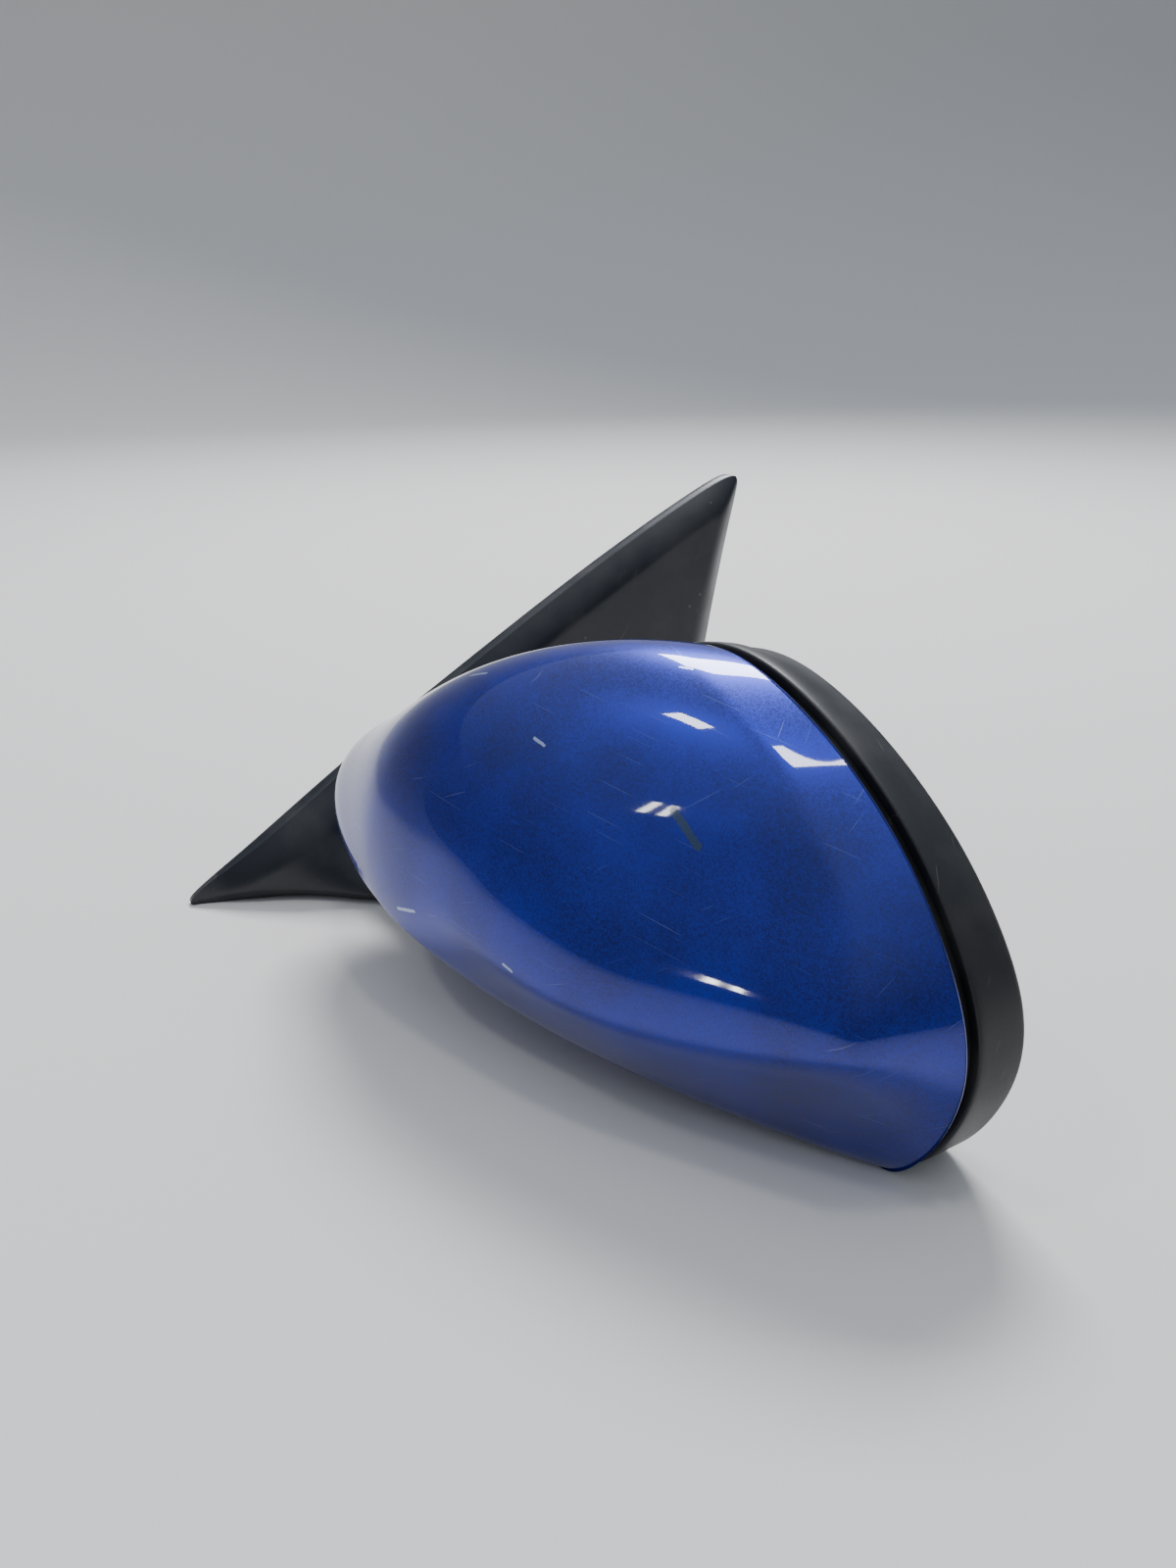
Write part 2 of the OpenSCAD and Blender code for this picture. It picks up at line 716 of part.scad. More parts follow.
module glass_carrier() {
  outer = inner_loop(glass_inset);
  color([0.1, 0.1, 0.11]) difference() {
    in_head() head_prism(outer, carrier_back, glass_back + glass_thickness + 0.3);
    in_head() head_prism(inner_loop(glass_inset + 1.2), glass_back - 0.4, 30);
  }
}

module carrier_ears() {
  color([0.1, 0.1, 0.11]) difference() {
    at_glass(gimbal_x - 2.6) for (q = [-1, 1]) {
      translate([q * ear_spot - 1.5, -4, 0]) cube([3, 8, carrier_back - gimbal_x + 2.6]);
    }
    at_glass(gimbal_x) rotate([0, 90, 0]) translate([0, 0, -25])
      cylinder(r = 1.55, h = 50, $fn = 32);
  }
  color([0.1, 0.1, 0.11]) at_glass(carrier_back - 1.2) difference() {
    cylinder(r = ear_spot + 4.3, h = 1.2, $fn = 64);
    translate([0, 0, -1]) cylinder(r = gimbal_r - 2, h = 4, $fn = 48);
  }
}

// Cup on the back of the carrier that holds a spindle ball.
module ball_cup(p) {
  color([0.1, 0.1, 0.11]) difference() {
    at_glass(gimbal_x - 5) translate(p) translate([-5.4, -5.4, 0])
      cube([10.8, 10.8, carrier_back - gimbal_x + 5]);
    at_glass(gimbal_x - 3.6) translate(p) translate([-4.2, -4.2, 0])
      cube([8.4, 8.4, 7.2]);
    at_glass(gimbal_x - 8) translate(p) cylinder(r = 2.9, h = 8, $fn = 32);
  }
}

module ball_cup_pitch() {
  ball_cup(spindle_spots[0]);
}

module ball_cup_yaw() {
  ball_cup(spindle_spots[1]);
}

module heater_pad() {
  color([0.75, 0.4, 0.15]) in_head()
    head_prism(inner_loop(glass_inset + 3), glass_back - 0.4, glass_back);
}

module mirror_glass() {
  color([0.75, 0.8, 0.85]) in_head()
    head_prism(inner_loop(glass_inset + 1.4), glass_back, glass_back + glass_thickness);
}

sail_cover();
mount_bracket();
arm_shroud();
under_cover();
under_cover_screw();
door_gasket();
cover_screw_front();
cover_screw_rear();
cover_screw_top();
harness_socket();
socket_contacts();
foot_lead();
friction_washer();
fold_spring();
spring_seat();
retaining_clip();
head_frame();
pivot_sleeve();
pivot_collar();
cap_shell();
cap_clip_inner();
cap_clip_upper();
cap_clip_outer();
cap_clip_lower();
bezel_ring();
frame_screw_inner();
frame_screw_outer();
actuator_case_front();
actuator_case_rear();
tilt_motor_upper();
tilt_motor_lower();
drive_nut_pitch();
drive_nut_yaw();
spindle_pitch();
spindle_yaw();
actuator_screw_1();
actuator_screw_2();
actuator_screw_3();
head_lead();
swivel_ring();
glass_carrier();
carrier_ears();
ball_cup_pitch();
ball_cup_yaw();
heater_pad();
mirror_glass();
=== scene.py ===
"""Looks of a left-hand exterior car door mirror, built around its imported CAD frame."""

import json
import logging
import math
from dataclasses import dataclass
from enum import Enum
from typing import Sequence

import bmesh
import bpy
import numpy as np
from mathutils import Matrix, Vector


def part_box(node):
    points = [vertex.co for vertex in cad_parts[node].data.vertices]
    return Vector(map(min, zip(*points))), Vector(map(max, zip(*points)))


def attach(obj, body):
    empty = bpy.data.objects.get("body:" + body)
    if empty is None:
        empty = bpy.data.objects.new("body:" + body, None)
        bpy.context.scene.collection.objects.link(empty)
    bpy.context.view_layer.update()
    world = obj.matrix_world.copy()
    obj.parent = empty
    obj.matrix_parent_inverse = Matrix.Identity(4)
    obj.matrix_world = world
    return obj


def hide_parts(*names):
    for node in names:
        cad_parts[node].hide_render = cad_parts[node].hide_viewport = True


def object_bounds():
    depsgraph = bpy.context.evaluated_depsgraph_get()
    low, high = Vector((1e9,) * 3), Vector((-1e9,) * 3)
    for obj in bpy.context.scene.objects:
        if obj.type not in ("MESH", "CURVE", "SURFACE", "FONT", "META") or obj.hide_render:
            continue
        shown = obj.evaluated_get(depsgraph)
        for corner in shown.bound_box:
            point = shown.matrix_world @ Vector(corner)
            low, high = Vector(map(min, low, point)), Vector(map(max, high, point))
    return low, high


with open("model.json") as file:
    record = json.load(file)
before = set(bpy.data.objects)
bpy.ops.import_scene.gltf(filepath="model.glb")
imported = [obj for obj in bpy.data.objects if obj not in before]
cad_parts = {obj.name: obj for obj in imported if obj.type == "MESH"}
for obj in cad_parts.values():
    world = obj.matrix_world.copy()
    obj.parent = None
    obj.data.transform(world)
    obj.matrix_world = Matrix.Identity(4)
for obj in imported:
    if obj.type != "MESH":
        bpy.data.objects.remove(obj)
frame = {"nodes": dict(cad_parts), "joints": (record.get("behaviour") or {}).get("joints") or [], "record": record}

LOG = logging.getLogger("door_mirror")
MM = 0.001
CAD_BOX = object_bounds()
JOINTS = {joint["name"]: joint for joint in frame["joints"]}
AROUND = 288


class Body(Enum):
    """The moving bodies that pieces ride on."""

    FOOT = "foot"
    HEAD = "head"
    GLASS = "glass"


# ---------------------------------------------------------------- geometry helpers


def spline_loop(points: Sequence[Sequence[float]], samples: int) -> np.ndarray:
    """Samples a closed uniform cubic B-spline.

    Args:
        points: Control points, in order round the outline.
        samples: How many points to return, spread evenly over the parameter.

    Returns:
        An array of samples by 2.
    """
    knots = np.asarray(points, float)
    at = np.arange(samples) * len(knots) / samples
    whole = at.astype(int)
    part = (at - whole)[:, None]
    weights = (
        (1 - part) ** 3 / 6,
        (3 * part**3 - 6 * part**2 + 4) / 6,
        (-3 * part**3 + 3 * part**2 + 3 * part + 1) / 6,
        part**3 / 6,
    )
    return sum(
        weight * knots[(whole + step) % len(knots)]
        for weight, step in zip(weights, (-1, 0, 1, 2))
    )


def inset_loop(loop: np.ndarray, distance: float) -> np.ndarray:
    """Moves a clockwise closed outline inwards along its normals.

    Args:
        loop: The outline's points.
        distance: How far to move them, in the outline's unit.

    Returns:
        The moved outline.
    """
    along = np.roll(loop, -1, 0) - np.roll(loop, 1, 0)
    along /= np.linalg.norm(along, axis=1)[:, None]
    return loop + distance * np.stack([along[:, 1], -along[:, 0]], 1)


def mitre_points(points: Sequence[Sequence[float]], distance: float) -> np.ndarray:
    """Moves the straight sides of a closed clockwise outline inwards.

    Args:
        points: The outline's corners.
        distance: How far each side moves.

    Returns:
        The corners of the smaller outline.
    """
    corners = np.asarray(points, float)
    before = corners - np.roll(corners, 1, 0)
    after = np.roll(corners, -1, 0) - corners
    before /= np.linalg.norm(before, axis=1)[:, None]
    after /= np.linalg.norm(after, axis=1)[:, None]
    turned = before + after
    normal = np.stack([turned[:, 1], -turned[:, 0]], 1)
    return corners + distance * normal / (1 + (before * after).sum(1))[:, None]


def smooth_step(value: np.ndarray | float) -> np.ndarray | float:
    """Eases from 0 to 1 as value goes from 0 to 1."""
    clipped = np.clip(value, 0, 1)
    return clipped * clipped * (3 - 2 * clipped)


def tent(at: np.ndarray | float, below: float, above: float, soft: float) -> np.ndarray | float:
    """A rounded peak of height 1 at 0.

    Args:
        at: Distance from the peak, negative below it.
        below: Distance at which it has faded out below.
        above: Distance at which it has faded out above.
        soft: Half-width over which the peak is rounded.

    Returns:
        The height at each distance.
    """
    distance = np.sqrt(np.square(at) + soft * soft) - soft
    reach = np.where(np.asarray(at) < 0, below, above)
    left = np.clip(1 - distance / reach, 0, 1)
    return left * left * (1.5 - 0.5 * left)


def mesh_object(name: str, points: np.ndarray, faces: list[list[int]]) -> bpy.types.Object:
    """Makes a smooth-shaded mesh object with its place in its mesh.

    Args:
        name: The piece's name.
        points: Vertices in millimetres, in the row frame.
        faces: Vertex numbers of each face.

    Returns:
        The linked object.
    """
    mesh = bpy.data.meshes.new(name)
    mesh.from_pydata((np.asarray(points) * MM).tolist(), [], faces)
    mesh.validate()
    bm = bmesh.new()
    bm.from_mesh(mesh)
    bmesh.ops.remove_doubles(bm, verts=bm.verts, dist=1e-7)
    bmesh.ops.recalc_face_normals(bm, faces=bm.faces)
    if bm.calc_volume(signed=True) < 0:
        bmesh.ops.reverse_faces(bm, faces=bm.faces)
    bm.to_mesh(mesh)
    bm.free()
    mesh.shade_smooth()
    piece = bpy.data.objects.new(name, mesh)
    bpy.context.scene.collection.objects.link(piece)
    return piece


class Ends(Enum):
    """How a stack of rings is closed."""

    CAPPED = "capped"
    HOOP = "hoop"


def ring_mesh(name: str, rings: Sequence[np.ndarray], ends: Ends) -> bpy.types.Object:
    """Skins a stack of closed rings with quads.

    Args:
        name: The piece's name.
        rings: Rings of equal length, each an array of points in millimetres.
        ends: Whether the first and last ring are capped or joined to each other.

    Returns:
        The linked object.
    """
    count = len(rings[0])
    points = np.concatenate(rings)
    last = len(rings) if ends is Ends.HOOP else len(rings) - 1
    faces = []
    for ring in range(last):
        low, high = ring * count, (ring + 1) % len(rings) * count
        faces += [
            [low + i, low + (i + 1) % count, high + (i + 1) % count, high + i]
            for i in range(count)
        ]
    if ends is Ends.CAPPED:
        faces.append(list(range(count - 1, -1, -1)))
        faces.append([(len(rings) - 1) * count + i for i in range(count)])
    return mesh_object(name, points, faces)


def sharpen(piece: bpy.types.Object, degrees: float) -> None:
    """Marks edges that turn more than an angle as sharp, so flats stay flat."""
    piece.data.set_sharp_from_angle(angle=math.radians(degrees))


def cut(piece: bpy.types.Object, tool: bpy.types.Object) -> None:
    """Cuts a tool's shape out of a piece, then deletes the tool."""
    modifier = piece.modifiers.new("cut", "BOOLEAN")
    modifier.operation = "DIFFERENCE"
    modifier.solver = "EXACT"
    modifier.object = tool
    graph = bpy.context.evaluated_depsgraph_get()
    mesh = bpy.data.meshes.new_from_object(piece.evaluated_get(graph))
    piece.modifiers.clear()
    piece.data = mesh
    mesh.name = piece.name
    bpy.data.objects.remove(tool)
    mesh.shade_smooth()
    sharpen(piece, 40)


def turned(
    name: str, profile: Sequence[tuple[float, float]], ends: Ends = Ends.CAPPED, sides: int = 96
) -> bpy.types.Object:
    """Turns a profile about the fold axis.

    Args:
        name: The piece's name.
        profile: Radius and height of each ring, in mm.
        ends: Whether the first and last ring are capped or joined to each other.
        sides: How many facets round.

    Returns:
        The linked object.
    """
    pivot = np.array(JOINTS["fold"]["pos_m"], float) / MM
    turn = np.linspace(0, 2 * math.pi, sides, endpoint=False)
    rings = [
        np.stack(
            [pivot[0] + r * np.cos(turn), pivot[1] + r * np.sin(turn), np.full(sides, z)], 1
        )
        for r, z in profile
    ]
    piece = ring_mesh(name, rings, ends)
    sharpen(piece, 40)
    return piece


def rounded(profile: Sequence[tuple[float, float]], radius: float, steps: int = 4) -> list:
    """Rounds every corner of a closed profile.

    Args:
        profile: Corners, in order, in mm.
        radius: Radius asked for; short sides get less.
        steps: Segments in each rounded corner.

    Returns:
        The rounded profile's points.
    """
    corners = [np.array(p, float) for p in profile]
    points = []
    for i, corner in enumerate(corners):
        before, after = corners[i - 1] - corner, corners[(i + 1) % len(corners)] - corner
        back = min(radius, 0.45 * np.linalg.norm(before), 0.45 * np.linalg.norm(after))
        first = corner + back * before / np.linalg.norm(before)
        last = corner + back * after / np.linalg.norm(after)
        for t in np.linspace(0, 1, steps + 1):
            points.append(
                tuple((1 - t) ** 2 * first + 2 * t * (1 - t) * corner + t * t * last)
            )
    return points


def tube(
    name: str, path: Sequence[Sequence[float]], radius: float, sides: int = 20
) -> bpy.types.Object:
    """Sweeps a round bar along a path.

    Args:
        name: The piece's name.
        path: Points along its centreline, in mm.
        radius: Radius of the bar, in mm.
        sides: How many facets round.

    Returns:
        The linked object.
    """
    line = np.asarray(path, float)
    along = np.gradient(line, axis=0)
    along /= np.linalg.norm(along, axis=1)[:, None]
    side = np.cross(along[0], [0.3, 0.5, 0.8])
    rings = []
    turn = np.linspace(0, 2 * math.pi, sides, endpoint=False)
    for point, tangent in zip(line, along):
        side = side - tangent * (side @ tangent)
        side /= np.linalg.norm(side)
        other = np.cross(tangent, side)
        rings.append(
            point + radius * (np.outer(np.cos(turn), side) + np.outer(np.sin(turn), other))
        )
    piece = ring_mesh(name, rings, Ends.CAPPED)
    sharpen(piece, 50)
    return piece


@dataclass
class Repeat:
    """A Geometry Nodes array: a unit repeated along a line, and the line along another.

    Attributes:
        count: Copies along the line.
        step: Step between them, in mm.
        rows: Copies of the line.
        row_step: Step between those, in mm.
    """

    count: int
    step: tuple[float, float, float]
    rows: int = 1
    row_step: tuple[float, float, float] = (0.0, 0.0, 0.0)

    def tree(self) -> tuple[bpy.types.NodeTree, dict[str, str]]:
        """Builds the node group; returns it with the identifier of each named input."""
        tree = bpy.data.node_groups.new("repeat", "GeometryNodeTree")
        sockets = {
            name: tree.interface.new_socket(name=name, in_out="INPUT", socket_type=kind).identifier
            for name, kind in (
                ("Geometry", "NodeSocketGeometry"), ("Count", "NodeSocketInt"),
                ("Step", "NodeSocketVector"), ("Rows", "NodeSocketInt"),
                ("Row step", "NodeSocketVector"), ("Finish", "NodeSocketMaterial"),
            )
        }
        tree.interface.new_socket(
            name="Geometry", in_out="OUTPUT", socket_type="NodeSocketGeometry"
        )
        given = tree.nodes.new("NodeGroupInput").outputs
        shape = given["Geometry"]
        for count, step in (("Count", "Step"), ("Rows", "Row step")):
            line = add_node(
                tree, "GeometryNodeMeshLine", links={"Count": given[count], "Offset": given[step]}
            )
            placed = add_node(
                tree, "GeometryNodeInstanceOnPoints",
                links={"Points": line.outputs[0], "Instance": shape},
            )
            shape = add_node(
                tree, "GeometryNodeRealizeInstances", links={"Geometry": placed.outputs[0]}
            ).outputs[0]
        dressed = add_node(
            tree, "GeometryNodeSetMaterial",
            links={"Geometry": shape, "Material": given["Finish"]},
        )
        add_node(tree, "NodeGroupOutput", links={"Geometry": dressed.outputs[0]})
        return tree, sockets

    def apply(self, piece: bpy.types.Object, finish: bpy.types.Material) -> None:
        """Repeats a piece's mesh and turns the result back into a plain mesh."""
        tree, sockets = self.tree()
        modifier = piece.modifiers.new("repeat", "NODES")
        modifier.node_group = tree
        values = {
            "Count": self.count, "Step": [v * MM for v in self.step], "Rows": self.rows,
            "Row step": [v * MM for v in self.row_step], "Finish": finish,
        }
        for name, value in values.items():
            modifier[sockets[name]] = value
        graph = bpy.context.evaluated_depsgraph_get()
        mesh = bpy.data.meshes.new_from_object(piece.evaluated_get(graph))
        piece.modifiers.clear()
        piece.data = mesh
        mesh.name = piece.name


@dataclass(frozen=True)
class HeadAxes:
    """The head's own axes, where s runs outboard, z up and x rearward from the rim plane.

    Attributes:
        gimbal_x: Place of the tilt centre along the head's x axis, in mm.
        glass_s: Place of the tilt centre along s, in mm.
    """

    gimbal_x: float = -3.0
    glass_s: float = 155.0

    @property
    def rear(self) -> np.ndarray:
        """Unit vector square to the rim plane, towards the rear."""
        return np.array(JOINTS["pitch_spindle_slide"]["axis"], float)

    @property
    def inboard(self) -> np.ndarray:
        """Unit vector along the rim plane, towards the door."""
        return np.array(JOINTS["glass_pitch"]["axis"], float)

    def place(self, loop: np.ndarray, x: np.ndarray | float) -> np.ndarray:
        """Puts outline points at depth x.

        Args:
            loop: Points in s and z, in mm.
            x: Depth of all the points, or of each, in mm.

        Returns:
            Points in the row frame, in mm.
        """
        centre = np.array(JOINTS["glass_pitch"]["pos_m"], float) / MM
        origin = centre - self.gimbal_x * self.rear + self.glass_s * self.inboard
        origin[2] = 0.0
        depth = np.broadcast_to(np.asarray(x, float), (len(loop),))
        up = np.array([0.0, 0.0, 1.0])
        return (
            origin
            + depth[:, None] * self.rear
            - loop[:, :1] * self.inboard
            + loop[:, 1:] * up
        )


@dataclass(frozen=True)
class HeadForm:
    """Outline and dome of the head, shared by the cap, the bezel and the glass.

    Attributes:
        rim: Control points of the rim outline, in s and z, in mm.
        depth: Depth of the dome ahead of the rim plane, in mm.
        skew: How far the crown leans inboard and up from the dome's centre, in mm.
        centre: Centre that the dome's sections shrink to, in s and z, in mm.
        crown_power: Power that sets how full the dome is.
        side_crease: Share of the depth at which the outboard crease lies.
        side_relief: How far the outboard crease stands proud, in mm.
        belly_height: Lowest height of the crease above the underside, in mm.
        belly_above: How far the belly fades out above its crease, in mm.
        belly_below: How far it fades out below, in mm.
        belly_relief: How far the belly crease stands proud, in mm.
    """

    rim: tuple[tuple[float, float], ...] = (
        (42, 5), (45, 23), (80, 37), (127, 65), (170, 81), (228, 54), (256, 22),
        (271, -11), (248, -55), (231, -47), (149, -39), (103, -26), (69, -15),
    )
    depth: float = 82.0
    skew: tuple[float, float] = (-94.0, 13.0)
    centre: tuple[float, float] = (189.0, -20.0)
    crown_power: float = 0.587
    side_crease: float = 0.13
    side_relief: float = 4.5
    belly_height: float = -13.5
    belly_above: float = 48.0
    belly_below: float = 31.0
    belly_relief: float = 9.0

    def outline(self, inset: float = 0.0) -> np.ndarray:
        """Rim outline moved inwards by inset, in mm."""
        return inset_loop(spline_loop(self.rim, AROUND), inset)

    def inner_outline(self, inset: float) -> np.ndarray:
        """Outline well inside the rim, rounded afresh from its moved corners."""
        return spline_loop(mitre_points(self.rim, inset), AROUND)

    def section(self, base: np.ndarray, share: float) -> tuple[np.ndarray, float]:
        """One ring of the dome.

        Args:
            base: Rim outline of this surface, in mm.
            share: Size of the ring as a share of the rim, from 1 to 0.

        Returns:
            The ring's points in s and z, and its share of the dome's depth.
        """
        rise = (1 - share**2) ** self.crown_power
        centre = np.array(self.centre)
        return centre + rise * np.array(self.skew) + share * (base - centre), rise

    def relief(self, base: np.ndarray, points: np.ndarray, rise: float) -> np.ndarray:
        """How far the two soft creases stand proud of the plain dome.

        Args:
            base: Rim outline of this surface, in mm.
            points: The ring's points in s and z, in mm.
            rise: The ring's share of the dome's depth.

        Returns:
            Height over the dome at each point, in mm.
        """
        spoke = base - np.array(self.centre)
        angle = np.degrees(np.arctan2(spoke[:, 1], spoke[:, 0]))
        side = smooth_step((angle + 12) / 30) * smooth_step((112 - angle) / 35)
        side_tent = tent(rise / self.side_crease - 1, 1.0, 3.2, 0.12)
        s, z = points[:, 0], points[:, 1]
        line = self.belly_height + 9 * ((s - 195) / 55) ** 2
        reach = smooth_step((s - 118) / 80) * smooth_step(rise / 0.16)
        belly = tent(z - line, self.belly_below, self.belly_above, 2.5)
        return self.side_relief * side * side_tent + self.belly_relief * reach * belly


AXES = HeadAxes()
FORM = HeadForm()


# ---------------------------------------------------------------- materials


def linear(hex_colour: str) -> tuple[float, float, float, float]:
    """Turns an sRGB hex colour into linear RGBA."""
    values = [int(hex_colour[i : i + 2], 16) / 255 for i in (1, 3, 5)]
    return (*[v / 12.92 if v <= 0.04045 else ((v + 0.055) / 1.055) ** 2.4 for v in values], 1.0)


def add_node(
    tree: bpy.types.NodeTree,
    kind: str,
    inputs: dict | None = None,
    links: dict | None = None,
    **settings: object,
) -> bpy.types.Node:
    """Adds a node with its settings, input values and incoming links.

    Args:
        tree: The node tree to add to.
        kind: The node's type name.
        inputs: Input socket names or numbers, and their values.
        links: Input socket names or numbers, and the output sockets they take.
        **settings: Properties of the node itself.

    Returns:
        The new node.
    """
    node = tree.nodes.new(kind)
    for name, value in settings.items():
        setattr(node, name, value)
    for name, value in (inputs or {}).items():
        node.inputs[name].default_value = value
    for name, socket in (links or {}).items():
        tree.links.new(socket, node.inputs[name])
    return node


class Finish:
    """A material under construction, with the steps that several finishes share."""

    def __init__(self, name: str) -> None:
        """Starts an empty material whose patterns read Object coordinates in millimetres."""
        self.material = bpy.data.materials.new(name)
        self.material.use_nodes = True
        self.tree = self.material.node_tree
        self.tree.nodes.clear()
        coordinates = add_node(self.tree, "ShaderNodeTexCoord")
        self.place = add_node(
            self.tree,
            "ShaderNodeMapping",
            {"Scale": (1 / MM, 1 / MM, 1 / MM)},
            {"Vector": coordinates.outputs["Object"]},
        ).outputs[0]
        self.shader = add_node(self.tree, "ShaderNodeBsdfPrincipled")
        add_node(
            self.tree,
            "ShaderNodeOutputMaterial",
            links={"Surface": self.shader.outputs[0]},
        )

    def set(self, **values: object) -> None:
        """Sets plain values on the shader, with underscores for spaces in socket names."""
        for name, value in values.items():
            self.shader.inputs[name.replace("_", " ")].default_value = value

    def noise(self, size_mm: float, detail: float = 2.0, stretch: Sequence[float] = (1, 1, 1)):
        """Noise whose features are about size_mm across.

        Args:
            size_mm: Size of one feature.
            detail: Finer octaves to add.
            stretch: How much finer the pattern is along each axis.

        Returns:
            The noise's factor output.
        """
        vector = self.place
        if tuple(stretch) != (1, 1, 1):
            vector = add_node(
                self.tree, "ShaderNodeMapping", {"Scale": tuple(stretch)}, {"Vector": vector}
            ).outputs[0]
        return add_node(
            self.tree,
            "ShaderNodeTexNoise",
            {"Scale": 1 / size_mm, "Detail": detail},
            {"Vector": vector},
        ).outputs["Fac"]

    def cells(self, size_mm: float, output: str = "Distance", feature: str = "F1"):
        """Voronoi cells about size_mm across; returns the named output."""
        return add_node(
            self.tree,
            "ShaderNodeTexVoronoi",
            {"Scale": 1 / size_mm},
            {"Vector": self.place},
            feature=feature,
        ).outputs[output]

    def ramp(self, factor, low: float, high: float, start: float = 0.0, end: float = 1.0):
        """Maps a factor between two limits to start and end, clamped."""
        return add_node(
            self.tree,
            "ShaderNodeMapRange",
            {1: low, 2: high, 3: start, 4: end},
            {0: factor},
        ).outputs[0]

    def times(self, first, second):
        """Product of two values, each a socket or a number."""
        return self.math("MULTIPLY", first, second)

    def math(self, operation: str, first, second):
        """One Math node on two values, each a socket or a number."""
        inputs, links = {}, {}
        for place, value in enumerate((first, second)):
            (inputs if isinstance(value, (int, float)) else links)[place] = value
        return add_node(
            self.tree, "ShaderNodeMath", inputs, links, operation=operation
        ).outputs[0]

    def blend(self, factor, first, second):
        """Mixes two colours, each a socket or an RGBA value, by a factor socket."""
        node = add_node(self.tree, "ShaderNodeMix", data_type="RGBA")
        self.tree.links.new(factor, node.inputs["Factor"])
        for name, value in (("A", first), ("B", second)):
            socket = [s for s in node.inputs if s.name == name and s.type == "RGBA"][0]
            if isinstance(value, tuple):
                socket.default_value = value
            else:
                self.tree.links.new(value, socket)
        return [s for s in node.outputs if s.type == "RGBA"][0]

    def colour(self, socket) -> None:
        """Links the base colour."""
        self.tree.links.new(socket, self.shader.inputs["Base Color"])

    def roughness(self, socket) -> None:
        """Links the roughness."""
        self.tree.links.new(socket, self.shader.inputs["Roughness"])

    def bump(self, height, depth_mm: float, after=None, strength: float = 1.0):
        """Adds a bump of a real depth and links it to the shader.

        Args:
            height: Height socket, from 0 to 1.
            depth_mm: Height difference that 1 stands for.
            after: Normal socket of an earlier bump.
            strength: Share of the bump to show.

        Returns:
            The bump's normal output.
        """
        links = {"Height": height}
        if after is not None:
            links["Normal"] = after
        normal = add_node(
            self.tree,
            "ShaderNodeBump",
            {"Distance": depth_mm * MM, "Strength": strength},
            links,
        ).outputs[0]
        self.tree.links.new(normal, self.shader.inputs["Normal"])
        return normal

    def specks(self, size_mm: float, amount: float):
        """Scattered specks: 1 on about amount of the cells that are size_mm across."""
        near = self.ramp(self.cells(size_mm), 0.12, 0.3, 1.0, 0.0)
        colour = self.cells(size_mm, "Color")
        pick = self.ramp(colour, 1 - amount - 0.02, 1 - amount)
        return self.times(near, pick)

    def hairlines(self, length_mm: float, width_mm: float, turn: float, amount: float):
        """Straight hairline scratches.

        Args:
            length_mm: Length of a line.
            width_mm: Its width.
            turn: Direction of the lines about the row's Y axis, in degrees.
            amount: Share of the surface that they may cover, well under 1.

        Returns:
            A socket that is 1 on the lines.
        """
        turned_place = add_node(
            self.tree,
            "ShaderNodeMapping",
            {"Rotation": (0.0, math.radians(turn), 0.0)},
            {"Vector": self.place},
        ).outputs[0]
        stretched = add_node(
            self.tree,
            "ShaderNodeMapping",
            {"Scale": (1 / length_mm, 1 / length_mm, 0.25 / width_mm)},
            {"Vector": turned_place},
        ).outputs[0]
        level = add_node(
            self.tree, "ShaderNodeTexNoise", {"Scale": 1.0, "Detail": 0.0}, {"Vector": stretched}
        ).outputs["Fac"]
        rare, softness = 0.84, 0.05
        edge = rare - amount / 2
        return self.ramp(level, edge, edge + softness)

    def mark(self, start: Sequence[float], end: Sequence[float], radius: float):
        """A single straight scuff.

        Args:
            start: One end, in mm in the row frame.
            end: The other end.
            radius: Half its width, in mm.

        Returns:
            A socket that is 1 on the scuff, with a ragged edge.
        """
        along = Vector(end) - Vector(start)
        offset = self.vector("SUBTRACT", self.place, tuple(start)).outputs["Vector"]
        dot = self.vector("DOT_PRODUCT", offset, tuple(along / along.length_squared))
        share = self.ramp(dot.outputs["Value"], 0.0, 1.0)
        nearest = add_node(
            self.tree, "ShaderNodeVectorMath", {0: tuple(along)}, operation="SCALE"
        )
        self.tree.links.new(share, nearest.inputs["Scale"])
        gap = self.vector("SUBTRACT", offset, nearest.outputs["Vector"]).outputs["Vector"]
        distance = self.vector("LENGTH", gap, (0.0, 0.0, 0.0)).outputs["Value"]
        ragged = self.math("ADD", distance, self.times(self.noise(0.9, 2.0), radius * 0.9))
        return self.ramp(ragged, radius * 1.25, radius * 1.5, 1.0, 0.0)

    def vector(self, operation: str, first, second):
        """One Vector Math node on a socket and either a socket or plain values."""
        node = add_node(
            self.tree, "ShaderNodeVectorMath", links={0: first}, operation=operation
        )
        if isinstance(second, tuple):
            node.inputs[1].default_value = second
        else:
            self.tree.links.new(second, node.inputs[1])
        return node


@dataclass(frozen=True)
class Scuff:
    """One mark on the paint.

    Attributes:
        start: One end, in mm in the row frame.
        end: The other end, in mm.
        radius: Half its width, in mm.
    """

    start: tuple[float, float, float]
    end: tuple[float, float, float]
    radius: float


